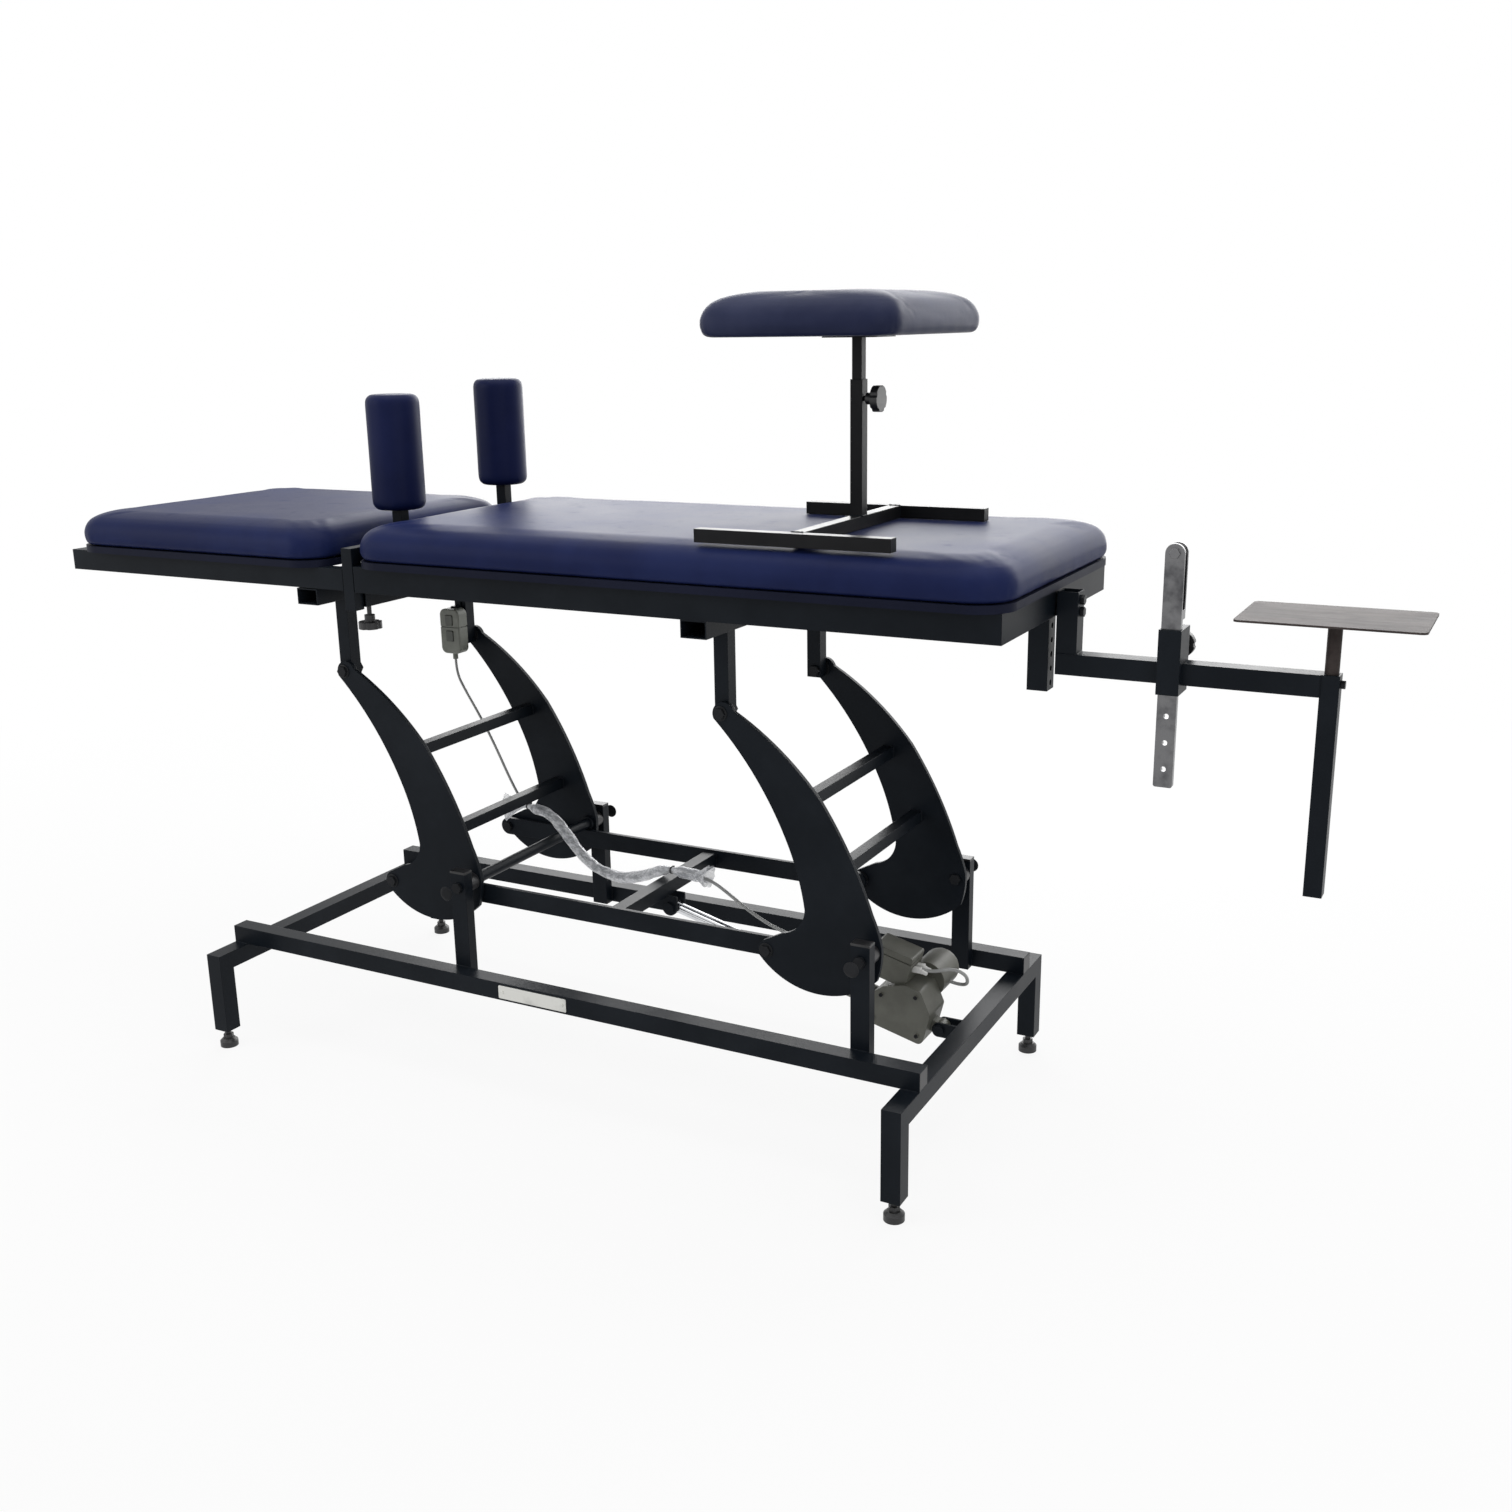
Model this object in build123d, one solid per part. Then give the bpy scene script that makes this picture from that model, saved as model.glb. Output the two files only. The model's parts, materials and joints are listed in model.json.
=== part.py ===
# Traction table: hi-lo parallelogram couch with head section, stool and pulley arm.
# Lengths in mm, angles in degrees. X runs along the couch, -Y is the near side, +Z up.
# While it is drawn, X counts from the left end of the floor frame.
import os
from math import atan2, cos, degrees, hypot, pi, radians, sin, tan
from build123d import *

os.makedirs("parts", exist_ok=True)

# Fits
pin_gap = 0.05
slide_gap = 0.4
clear_gap = 0.5
overrun = 5.0

# Square tube of the whole frame
tube_side = 32.0
tube_wall = 2.0
cap_lip = 4.0
cap_depth = 18.0

# Floor frame
base_width = 670.0
leg_height = 152.5
foot_height = 35.0
rail_outer = 524.0
foot_radius = 16.5
foot_pad_height = 16.0
foot_stud_radius = 5.0
foot_stud_reach = 28.0
foot_nut_radius = 9.5
foot_nut_height = 8.0
foot_travel = 9.0
insert_depth = 24.0

# Pivot posts and the lift arms
post_depth = 20.0
post_top = 392.0
left_pivot_x = 520.0
arm_pitch = 767.0
right_overhang = 113.0
pivot_height = 367.0
plate_thickness = 8.0
plate_outer = 189.0
arm_reach = 258.0
arm_height = 356.0
bolt_radius = 6.0
bolt_head_radius = 10.0
bolt_head_height = 6.0
spacer_radius = 16.0
lug_reach = 183.0
lug_drop = 28.0

# Cross rods of the arms: places as shares of arm reach and arm height
rod_side = 20.0
shaft_radius = 10.0
shaft_cup_radius = 14.0
thin_nut = 4.0
upper_rod_shares = (-0.50, 0.61)
left_low_rod_shares = (-0.25, 0.21)
right_low_rod_shares = (-0.29, 0.30)

# Tie bars between the lugs
tie_height = 34.0
tie_thickness = 8.0
tie_gap = 8.0
crossbar_side = 25.0
clevis_gap = 22.0
clevis_wall = 5.0
clevis_radius = 15.0
clevis_pin_radius = 6.0
clevis_offset = 16.0
clevis_height = 305.0

# Electric actuator
motor_inset = 33.0
actuator_reach = 515.0
motor_pivot_height = 172.0
eye_radius = 12.0
eye_width = 20.0
ear_wall = 5.0
rod_radius = 10.0
jacket_radius = 19.0
jacket_wall = 3.0
jacket_reach = 332.0
rod_inside = 40.0
gearbox_width = 64.0
gearbox_length = 106.0
gearbox_start = 16.0
gearbox_low = 30.0
gearbox_high = 62.0
gearbox_round = 10.0
gearbox_lip = 2.0
screw_radius = 3.0
motor_radius = 32.0
motor_length = 78.0
motor_shift = 56.0
control_length = 72.0
control_height = 56.0
control_width = 52.0
control_shift = 72.0
control_lid = 12.0

# Top: long section at the right, head section at the left
top_half = 254.0
frame_bottom = 881.0
frame_height = 44.0
frame_side = 25.0
main_left = 363.0
main_right = 1507.0
hanger_side = 25.0
hanger_gap = 2.0
hanger_shift = 2.0
hanger_drop = 12.0
under_width = 45.0
under_height = 28.0
under_shift = 7.0
spine_width = 40.0
head_left = -322.5
head_right = 338.0
head_frame_height = 37.0
head_lift = 1.5
slide_bar_side = 30.0
slide_bar_centre = 208.0
slide_bar_end = 640.0
board_thickness = 12.0
board_inset = 4.0
cushion_height = 61.0
cushion_half = 279.0
cushion_round = 60.0
cushion_crown = 50.0
head_cushion_left = -298.0
head_cushion_right = 300.0
main_cushion_left = 366.0
main_cushion_right = 1520.0

# Armpit bridge and rolls
bridge_width = 22.0
bridge_gap = 1.2
bridge_top = 955.0
bridge_bar = 25.0
bridge_foot = 849.0
saddle_wall = 4.0
saddle_width = 36.0
armpit_stem_side = 20.0
near_armpit_y = -108.0
far_armpit_y = 195.0
roll_radius = 47.0
roll_height = 198.0
roll_round = 12.0
roll_bottom = 1005.0
far_roll_raise = 15.0

# Star knobs
knob_radius = 20.0
knob_hub_radius = 9.0
knob_height = 12.0
knob_lobes = 5
knob_screw_radius = 4.0

# Lock knob under the near slide bar
lock_knob_drop = 18.0

# Leg stool
stool_x = 1187.0
stool_y = -14.0
stool_bar_side = 20.0
stool_bar_length = 316.0
stool_spread = 403.0
stool_back = 3.0
stool_near = 36.5
stool_column = 207.2
stool_inner_side = 16.0
stool_inner_reach = 150.0
stool_wall = 1.5
stool_pad_length = 320.0
stool_pad_width = 400.0
stool_pad_rise = 65.0
stool_pad_height = 65.0
stool_pad_shift = 25.0
stool_pad_crown = 65.0
stool_pad_round = 45.0
pad_plate_side = 90.0
pad_plate_thickness = 3.0
stool_knob_drop = 29.0

# Traction guide, arm and accessories
guide_x = 1484.0
guide_bottom = 766.0
guide_holes = 5
guide_hole_radius = 4.5
guide_hole_pitch = 22.0
arm_side = 32.0
arm_x = 1511.0
arm_bottom = 794.0
arm_top_stub = 920.0
arm_bolt_radius = 5.0
arm_bolt_pitch = 18.0
arm_bolt_height = 898.0
arm_end_x = 1917.0
end_tube_side = 26.0
end_tube_bottom = 498.0
slider_x = 1684.0
slider_length = 33.0
slider_knob_rise = 17.0
slider_top = 877.0
slider_bottom = 781.0
slider_wall = 4.0
pulley_bar_width = 28.0
pulley_bar_thickness = 10.0
pulley_bar_bottom = 641.0
pulley_centre = 987.0
fork_gap = 14.0
fork_cheek = 5.0
fork_start = 905.0
pulley_radius = 13.0
pulley_groove = 3.0
pulley_bore = 4.0
bar_hole_radius = 4.0
bar_holes = 3
bar_hole_pitch = 40.0
bar_first_hole = 28.0
stem_radius = 10.0
stem_inside = 150.0
shelf_height = 905.0
shelf_length = 250.0
shelf_depth = 165.0
shelf_thickness = 3.0
shelf_lip = 9.0
clamp_height = 812.0
clamp_head_radius = 6.0

# Nameplate, handset and cords
plate_x = 690.0
nameplate_length = 140.0
nameplate_height = 24.0
nameplate_thickness = 1.5
rivet_radius = 2.5
handset_width = 46.0
handset_depth = 26.0
handset_height = 88.0
handset_shift = 4.0
handset_top = 783.0
handset_round = 6.0
button_width = 16.0
button_height = 20.0
button_proud = 1.8
button_travel = 1.2
hook_width = 14.0
hook_thickness = 3.0
cord_radius = 2.5
sleeve_radius = 10.0
lead_radius = 3.0

# Cord routes: steps in mm from the gland, from the low rod, and as shares of a run with drops
cord_steps = ((0, 0, -28), (20, -4, -58), (50, -11, -93), (80, -18, -131), (108, -25, -171),
              (132, -31, -209), (154, -36, -241))
sleeve_entry = (-26, 96, -4)
rod_steps = ((8, 86, -8), (47, 77, -8))
sleeve_shares = (0.0915, 0.2254, 0.3944, 0.5915, 0.7817)
sleeve_sides = (66, 56, 45, 34, 22)
sleeve_drops = (17, -17, -39, -43, -27)
crossbar_steps = ((-14, 12, 4), (28, 7, 7), (68, 4, 4))
lead_stub = 24.0
lead_shares = (0.181, 0.280, 0.408, 0.554, 0.706, 0.831)
lead_drops = (-22, -44, -66, -80, -85, -80)
loop_steps = ((58, 24, 0), (76, 46, -20), (69, 60, -47), (40, 58, -40.8))

# Places worked out from the sizes above
base_length = left_pivot_x + arm_pitch + right_overhang
motor_pivot_x = base_length - tube_side - motor_inset
clevis_x = motor_pivot_x - actuator_reach
crossbar_x = clevis_x - clevis_offset
half_width = base_width / 2
cross_top = foot_height + leg_height
cross_bottom = cross_top - tube_side
rail_top = cross_top + tube_side
rail_inner = rail_outer / 2 - tube_side
post_inner = rail_inner - post_depth
plate_inner = plate_outer - plate_thickness
right_pivot_x = left_pivot_x + arm_pitch
pivots = (left_pivot_x, right_pivot_x)
tie_outer = plate_inner - tie_gap
tie_inner = tie_outer - tie_thickness
hanger_outer = plate_inner - hanger_gap
hanger_inner = hanger_outer - hanger_side
frame_top = frame_bottom + frame_height
under_bottom = frame_bottom - under_height
shelf_x = arm_end_x - end_tube_side / 2
cushion_top = frame_top + board_thickness + slide_gap + cushion_height
stool_low = cushion_top + slide_gap
stool_high = stool_low + stool_bar_side
stool_post_top = stool_high + stool_column
stool_pad_bottom = stool_post_top + stool_pad_rise
stool_knob_height = stool_post_top - stool_knob_drop
middle_x = (head_left + shelf_x + shelf_length / 2) / 2
sides = (-1, 1)


def span(centre, size):
    return (centre - size / 2, centre + size / 2)


def band(side, low, high):
    return (low, high) if side > 0 else (-high, -low)


def block(x, y, z):
    size = Box(x[1] - x[0], y[1] - y[0], z[1] - z[0])
    return Pos((x[0] + x[1]) / 2, (y[0] + y[1]) / 2, (z[0] + z[1]) / 2) * size


def tube(x, y, z, along, wall=tube_wall):
    grow = {name: overrun if name == along else -wall for name in "xyz"}
    inner = [(r[0] - grow[n], r[1] + grow[n]) for n, r in zip("xyz", (x, y, z))]
    return block(x, y, z) - block(*inner)


def pin(x, y, z, radius, along="y"):
    ranges = {"x": x, "y": y, "z": z}
    low, high = ranges[along]
    turn = {"x": Rot(0, 90, 0), "y": Rot(90, 0, 0), "z": Rot(0, 0, 0)}[along]
    place = [(low + high) / 2 if name == along else ranges[name] for name in "xyz"]
    return Pos(*place) * turn * Cylinder(radius, high - low)


def hexagon(x, y, z, radius, along="y"):
    ranges = {"x": x, "y": y, "z": z}
    low, high = ranges[along]
    turn = {"x": Rot(0, 90, 0), "y": Rot(-90, 0, 0), "z": Rot(0, 0, 0)}[along]
    place = [low if name == along else ranges[name] for name in "xyz"]
    return Pos(*place) * turn * extrude(RegularPolygon(radius, 6), high - low)


def bolt(x, z, side, inner, outer, radius=bolt_radius):
    # Head outside, plain shank, nut inside; inner and outer count from the mid plane.
    shank = pin(x, band(side, inner, outer), z, radius)
    head = hexagon(x, band(side, outer, outer + bolt_head_height), z, bolt_head_radius)
    nut = hexagon(x, band(side, inner - bolt_head_height, inner), z, bolt_head_radius)
    return shank + head + nut


def star_knob(radius, height, screw):
    # Lobed grip from z = 0 downward, screw from z = 0 upward.
    grip = Cylinder(radius, height)
    lobe_cut = Cylinder(radius * sin(pi / knob_lobes) / 2, height + overrun)
    for n in range(knob_lobes):
        turn = 360 / knob_lobes * n
        grip -= Rot(0, 0, turn) * Pos(radius * (1 + 1 / knob_lobes), 0, 0) * lobe_cut
    hub = Pos(0, 0, height) * Cylinder(knob_hub_radius, height)
    shank = Pos(0, 0, screw / 2) * Cylinder(knob_screw_radius, screw)
    return Pos(0, 0, -height * 3 / 2) * (grip + hub) + shank


def save(name, *shapes):
    solids = [s for shape in shapes for s in shape.solids()]
    shape = solids[0] if len(solids) == 1 else Compound(children=solids)
    export_step(Pos(-middle_x, 0, 0) * shape, f"parts/{name}.step")


# Floor frame: two square-cornered trestles under two long rails
def trestle(x):
    outer = block(x, (-half_width, half_width), (foot_height, cross_top))
    gap = half_width - tube_side
    frame = outer - block(span(x[0], base_length), (-gap, gap), (0, cross_bottom))
    inset = (x[0] + tube_wall, x[1] - tube_wall)
    reach = half_width - tube_wall
    bore = block(inset, (-reach, reach), (cross_bottom + tube_wall, cross_top - tube_wall))
    for side in sides:
        leg = band(side, gap + tube_wall, reach)
        bore += block(inset, leg, (0, cross_top - tube_wall))
    return frame - bore


trestles = ((0, tube_side), (base_length - tube_side, base_length))
save("left_floor_frame", trestle(trestles[0]))
save("right_floor_frame", trestle(trestles[1]))
rails = [
    tube((0, base_length), band(side, rail_inner, rail_outer / 2), (cross_top, rail_top), "x")
    for side in sides
]
save("side_rails", *rails)

# Posts welded to the inner faces of the rails, each carrying a pivot bolt
posts = []
caps = []
for x in pivots:
    for side in sides:
        y = band(side, post_inner, rail_inner)
        post = tube(span(x, tube_side), y, (cross_top, post_top), "z")
        post -= pin(x, (y[0] - overrun, y[1] + overrun), pivot_height, bolt_radius + pin_gap)
        posts.append(post)
        caps.append(block(span(x, tube_side), y, (post_top, post_top + cap_lip)))
save("pivot_posts", *posts)
bore_side = tube_side - 2 * tube_wall
for side in sides:
    y = band(side, rail_inner, rail_outer / 2)
    core_y = (y[0] + tube_wall, y[1] - tube_wall)
    core_z = (cross_top + tube_wall, rail_top - tube_wall)
    caps.append(block((0, cap_depth), core_y, core_z))
    caps.append(block((base_length - cap_depth, base_length), core_y, core_z))
leg_y = half_width - tube_side / 2
for x in trestles:
    for side in sides:
        insert = block(span(sum(x) / 2, bore_side), span(side * leg_y, bore_side),
                       (foot_height, foot_height + insert_depth))
        caps.append(insert - pin(sum(x) / 2, side * leg_y, (0, cross_top),
                                 foot_stud_radius + pin_gap, "z"))
save("tube_caps", *caps)

# Levelling feet: moulded pad, lock nut and stud in one foot
for x, along in zip(trestles, ("left", "right")):
    for side, across in zip(sides, ("near", "far")):
        place = Pos(sum(x) / 2, side * leg_y, 0)
        pad = Pos(0, 0, foot_pad_height / 2) * Cylinder(foot_radius, foot_pad_height)
        pad = chamfer(pad.edges().group_by(Axis.Z)[-1], foot_pad_height / 3)
        stud_top = foot_height + foot_stud_reach - foot_travel - cap_lip
        stud = Pos(0, 0, stud_top / 2) * Cylinder(foot_stud_radius, stud_top)
        nut = hexagon(0, 0, (foot_pad_height, foot_pad_height + foot_nut_height),
                      foot_nut_radius, "z")
        save(f"{across}_{along}_foot", place * (pad + stud + nut))

# Pivot bolts and the bushes that space the arms from the posts
spacers = []
bolts = []
for x in pivots:
    for side in sides:
        y = band(side, plate_outer + slide_gap, post_inner)
        ring = pin(x, y, pivot_height, spacer_radius)
        spacers.append(ring - pin(x, (y[0] - overrun, y[1] + overrun), pivot_height,
                                  bolt_radius + pin_gap))
        inner = plate_inner - slide_gap
        shank = pin(x, band(side, inner, rail_inner), pivot_height, bolt_radius)
        head = hexagon(x, band(side, rail_inner, rail_inner + bolt_head_height), pivot_height,
                       bolt_head_radius)
        nut = hexagon(x, band(side, inner - thin_nut, inner), pivot_height, bolt_head_radius)
        bolts.append(shank + head + nut)
save("pivot_spacers", *spacers)
save("pivot_bolts", *bolts)

# Bare nameplate with two rivets on the near rail
near_face = -rail_outer / 2
rail_mid = (cross_top + rail_top) / 2
badge = block(span(plate_x, nameplate_length), (near_face - nameplate_thickness, near_face),
              span(rail_mid, nameplate_height))
badge = fillet(badge.edges().filter_by(Axis.Y), rivet_radius)
for side in sides:
    rivet_x = plate_x + side * (nameplate_length / 2 - nameplate_height / 3)
    badge += pin(rivet_x, (near_face - 2 * nameplate_thickness, near_face), rail_mid,
                 rivet_radius)
save("nameplate", badge)

# Rear actuator bracket: two ears welded to the right trestle, with their pin
ear_inner = eye_width / 2 + clear_gap
ears = []
for side in sides:
    y = band(side, ear_inner, ear_inner + ear_wall)
    ear = block((motor_pivot_x, trestles[1][0]), y, span(motor_pivot_height, 2 * eye_radius))
    ear += pin(motor_pivot_x, y, motor_pivot_height, eye_radius)
    grow = (y[0] - overrun, y[1] + overrun)
    ears.append(ear - pin(motor_pivot_x, grow, motor_pivot_height, bolt_radius + pin_gap))
ear_face = ear_inner + ear_wall
rear_pin = pin(motor_pivot_x, (-ear_face, ear_face), motor_pivot_height, bolt_radius)
for side in sides:
    rear_pin += pin(motor_pivot_x, band(side, ear_face, ear_face + cap_lip),
                    motor_pivot_height, bolt_head_radius)
save("actuator_bracket", *ears, rear_pin)

# Sabre plates: outline as shares of arm reach and arm height about the base pivot
sabre_shares = {
    "tip_left": (-1.047, 0.975), "blade_in": (-0.791, 0.756), "waist": (-0.565, 0.464),
    "belly_mid": (-0.473, 0.269), "belly": (-0.440, 0.146), "hook_mid": (-0.468, 0.078),
    "hook": (-0.593, 0.018), "lug_top": (-0.721, -0.030), "lug_mid": (-0.762, -0.062),
    "lug_low": (-0.759, -0.104), "keel": (-0.396, -0.243), "heel": (0.039, -0.132),
    "heel_mid": (0.064, -0.060), "back_low": (0.070, 0.027), "back_mid": (0.042, 0.100),
    "shoulder": (0.005, 0.167), "back": (-0.113, 0.379), "blade": (-0.335, 0.661),
    "blade_mid": (-0.573, 0.842), "tip_right": (-0.905, 1.014), "tip": (-1.039, 1.030),
}


def arm_point(shares, x=0.0):
    return (x + shares[0] * arm_reach, pivot_height + shares[1] * arm_height)


def sabre_plate(pivot_x, side):
    place = {key: arm_point(value, pivot_x) for key, value in sabre_shares.items()}
    arcs = (
        ("tip_left", "blade_in", "waist"), ("waist", "belly_mid", "belly"),
        ("belly", "hook_mid", "hook"), ("lug_top", "lug_mid", "lug_low"),
        ("lug_low", "keel", "heel"), ("heel", "heel_mid", "back_low"),
        ("back_low", "back_mid", "shoulder"), ("shoulder", "back", "blade"),
        ("blade", "blade_mid", "tip_right"), ("tip_right", "tip", "tip_left"),
    )
    edges = [ThreePointArc(*(place[key] for key in arc)) for arc in arcs]
    edges.append(Line(place["hook"], place["lug_top"]))
    outline = Plane.XZ * make_face(Wire(edges))
    y = band(side, plate_inner, plate_outer)
    plate = Pos(0, y[1], 0) * extrude(outline, y[1] - y[0])
    holes = ((pivot_x, pivot_height), (pivot_x - arm_reach, pivot_height + arm_height),
             (pivot_x - lug_reach, pivot_height - lug_drop))
    for x, z in holes:
        plate -= pin(x, (y[0] - overrun, y[1] + overrun), z, bolt_radius + pin_gap)
    return plate


def arm_set(pivot_x, name, rods):
    save(f"{name}_sabre_plates", *[sabre_plate(pivot_x, side) for side in sides])
    save(f"{name}_cross_rods", *rods)
    arm_bolts = []
    for side in sides:
        hanger_end = (pivot_x - arm_reach, pivot_height + arm_height, hanger_inner, hanger_outer)
        tie_end = (pivot_x - lug_reach, pivot_height - lug_drop, tie_inner, tie_outer)
        for x, z, inner, outer in (hanger_end, tie_end):
            collar = pin(x, band(side, outer + slide_gap, plate_inner), z, spacer_radius)
            arm_bolts.append(bolt(x, z, side, inner - slide_gap, plate_outer) + collar)
    save(f"{name}_arm_bolts", *arm_bolts)


def cross_rod(pivot_x, shares):
    x, z = arm_point(shares, pivot_x)
    reach = (-plate_inner, plate_inner)
    return tube(span(x, rod_side), reach, span(z, rod_side), "y")


# The left pair is tied at the pivot too: a shaft whose end cups clear the pivot nuts
cup_start = tie_outer + slide_gap
cup_floor = plate_inner - slide_gap - thin_nut - slide_gap
pivot_shaft = pin(left_pivot_x, (-cup_start, cup_start), pivot_height, shaft_radius)
for side in sides:
    cup = pin(left_pivot_x, band(side, cup_start, plate_inner), pivot_height, shaft_cup_radius)
    nut_room = pin(left_pivot_x, band(side, cup_floor, plate_inner), pivot_height,
                   bolt_head_radius + slide_gap)
    pivot_shaft += cup - nut_room
arm_set(left_pivot_x, "left",
        [cross_rod(left_pivot_x, upper_rod_shares), cross_rod(left_pivot_x, left_low_rod_shares),
         pivot_shaft])
arm_set(right_pivot_x, "right",
        [cross_rod(right_pivot_x, upper_rod_shares),
         cross_rod(right_pivot_x, right_low_rod_shares)])

# Tie bars: keep both arm pairs parallel and take the push of the actuator
lug_height = pivot_height - lug_drop
tie_bars = []
for side in sides:
    y = band(side, tie_inner, tie_outer)
    ends = [x - lug_reach for x in pivots]
    bar = block(ends, y, span(lug_height, tie_height))
    for x in ends:
        bar += pin(x, y, lug_height, tie_height / 2)
    for x in ends:
        bar -= pin(x, (y[0] - overrun, y[1] + overrun), lug_height, bolt_radius + pin_gap)
    tie_bars.append(bar)
crossbar = tube(span(crossbar_x, crossbar_side), (-tie_inner, tie_inner),
                span(lug_height, crossbar_side), "y")
save("tie_bars", *tie_bars, crossbar)

# Clevis hung from the crossbar, with its pin
clevis_low = clevis_height - clevis_radius
crossbar_bottom = lug_height - crossbar_side / 2
clevis_parts = []
for side in sides:
    y = band(side, clevis_gap / 2, clevis_gap / 2 + clevis_wall)
    ear = pin(clevis_x, y, clevis_height, clevis_radius)
    ear += block((crossbar_x - crossbar_side / 2, clevis_x + clevis_radius), y,
                 (clevis_height, crossbar_bottom))
    clevis_parts.append(ear - pin(clevis_x, (-half_width, half_width), clevis_height,
                                  clevis_pin_radius + pin_gap))
clevis_face = clevis_gap / 2 + clevis_wall
clevis_pin = pin(clevis_x, (-clevis_face, clevis_face), clevis_height, clevis_pin_radius)
for side in sides:
    clevis_pin += pin(clevis_x, band(side, clevis_face, clevis_face + cap_lip), clevis_height,
                      bolt_head_radius)
save("rod_clevis", *clevis_parts, clevis_pin)

# Actuator, drawn along X from its rear pivot and then tilted to meet the clevis
actuator_run = hypot(motor_pivot_x - clevis_x, clevis_height - motor_pivot_height)
actuator_tilt = degrees(atan2(clevis_height - motor_pivot_height, motor_pivot_x - clevis_x))
tilt = Pos(motor_pivot_x, 0, motor_pivot_height) * Rot(0, actuator_tilt, 0)
print(f"actuator: {actuator_run:.1f} mm between pivots, tilted {actuator_tilt:.2f} degrees")

rod = pin((-actuator_run, -(jacket_reach - rod_inside)), 0, 0, rod_radius, "x")
rod += pin(-actuator_run, span(0, eye_width), 0, eye_radius)
rod -= pin(-actuator_run, span(0, base_width), 0, clevis_pin_radius + pin_gap)
save("actuator_rod", tilt * rod)

gearbox_end = -(gearbox_start + gearbox_length)
jacket = pin((-jacket_reach, gearbox_end), 0, 0, jacket_radius, "x")
jacket -= pin((-jacket_reach - overrun, gearbox_end - jacket_wall), 0, 0,
              jacket_radius - jacket_wall, "x")
save("actuator_tube", tilt * jacket)

shell_shares = ((0.0, -1.0), (-1.0, -1.0), (-1.0, 0.40), (-0.86, 0.70), (-0.52, 1.0),
                (-0.25, 1.0), (0.0, 0.45))
shell_points = [
    (-gearbox_start + sx * gearbox_length,
     sz * (gearbox_high if sz > 0 else gearbox_low)) for sx, sz in shell_shares
]
shell_face = Plane.XZ * make_face(Polyline(*shell_points, close=True))
shell = Pos(0, gearbox_width / 2, 0) * extrude(shell_face, gearbox_width)
shell = fillet(shell.edges().filter_by(Axis.Y), gearbox_round)
lid = Pos(0, -gearbox_width / 2, 0) * extrude(shell_face, gearbox_lip)
shell += fillet(lid.edges().filter_by(Axis.Y), gearbox_round)
shell += pin(0, span(0, eye_width), 0, eye_radius)
shell += block((-gearbox_start - gearbox_round, 0), span(0, eye_width),
               span(0, 2 * eye_radius - cap_lip))
shell -= pin(0, span(0, base_width), 0, bolt_radius + pin_gap)
lid_face = -gearbox_width / 2 - gearbox_lip
for sx, sz in ((-0.85, 0.45), (-0.30, 0.80), (-0.12, -0.55), (-0.88, -0.60)):
    screw_x = -gearbox_start + sx * gearbox_length
    screw_z = sz * (gearbox_high if sz > 0 else gearbox_low)
    shell += pin(screw_x, (lid_face - gearbox_lip, lid_face), screw_z, screw_radius)
save("actuator_gearbox", tilt * shell)

motor_x = -motor_shift
motor_z = gearbox_high - gearbox_round
can = pin(motor_x, (gearbox_width / 2, gearbox_width / 2 + motor_length), motor_z, motor_radius)
can = fillet(can.edges().sort_by(Axis.Y)[-1], gearbox_round)
save("actuator_motor", tilt * can)

control_right = -control_shift
control = block((control_right - control_length, control_right), span(0, control_width),
                (gearbox_high - gearbox_round, gearbox_high - gearbox_round + control_height))
control = fillet(control.edges().filter_by(Axis.Y), gearbox_lip * 2)
control -= shell
control_top = gearbox_high - gearbox_round + control_height - control_lid
groove = block((control_right - base_length, base_length), span(0, base_width),
               span(control_top, gearbox_lip))
inner = block((control_right - control_length + gearbox_lip, control_right - gearbox_lip),
              span(0, control_width - 2 * gearbox_lip), span(control_top, 2 * gearbox_lip))
control -= groove - inner
save("control_box", tilt * control)

# Underframe of the top: two wide cross tubes on one spine, a lock tube between the legs of
# the armpit bridge, and four hangers to the arms
top_pivot_x = [x - arm_reach for x in pivots]
under_x = [x - under_shift for x in top_pivot_x]
under_z = (under_bottom, frame_bottom)
bridge_x = (head_right + bridge_gap, head_right + bridge_gap + bridge_width)
lock_tube_x = sum(bridge_x) / 2
under = tube((under_x[0], under_x[1]), span(0, spine_width), under_z, "x")
for x, width, half in ((under_x[0], under_width, top_half), (under_x[1], under_width, top_half),
                       (lock_tube_x, tube_side, top_half - bridge_width)):
    under -= block(span(x, width), (-half, half), under_z)
    under += tube(span(x, width), (-half, half), under_z, "y")
lock_hole = pin(lock_tube_x, -slide_bar_centre, (under_bottom - overrun, frame_top),
                knob_screw_radius + pin_gap, "z")
save("underframe", under - lock_hole)
hangers = []
hanger_top = pivot_height + arm_height
for x in top_pivot_x:
    for side in sides:
        y = band(side, hanger_inner, hanger_outer)
        hanger = tube(span(x - hanger_shift, hanger_side), y,
                      (hanger_top - hanger_drop, under_bottom), "z")
        hangers.append(hanger - pin(x, (y[0] - overrun, y[1] + overrun), hanger_top,
                                    bolt_radius + pin_gap))
save("hanger_tubes", *hangers)


def ring(x, half, z, side):
    gap_y = (-half + side, half - side)
    outer = block(x, (-half, half), z)
    return outer - block((x[0] + side, x[1] - side), gap_y, (z[0] - overrun, z[1] + overrun))


def ring_frame(x, half, z, side):
    # Welded frame of box tube, hollow all the way round.
    core_x = (x[0] + tube_wall, x[1] - tube_wall)
    core_z = (z[0] + tube_wall, z[1] - tube_wall)
    return ring(x, half, z, side) - ring(core_x, half - tube_wall, core_z, side - 2 * tube_wall)


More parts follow.
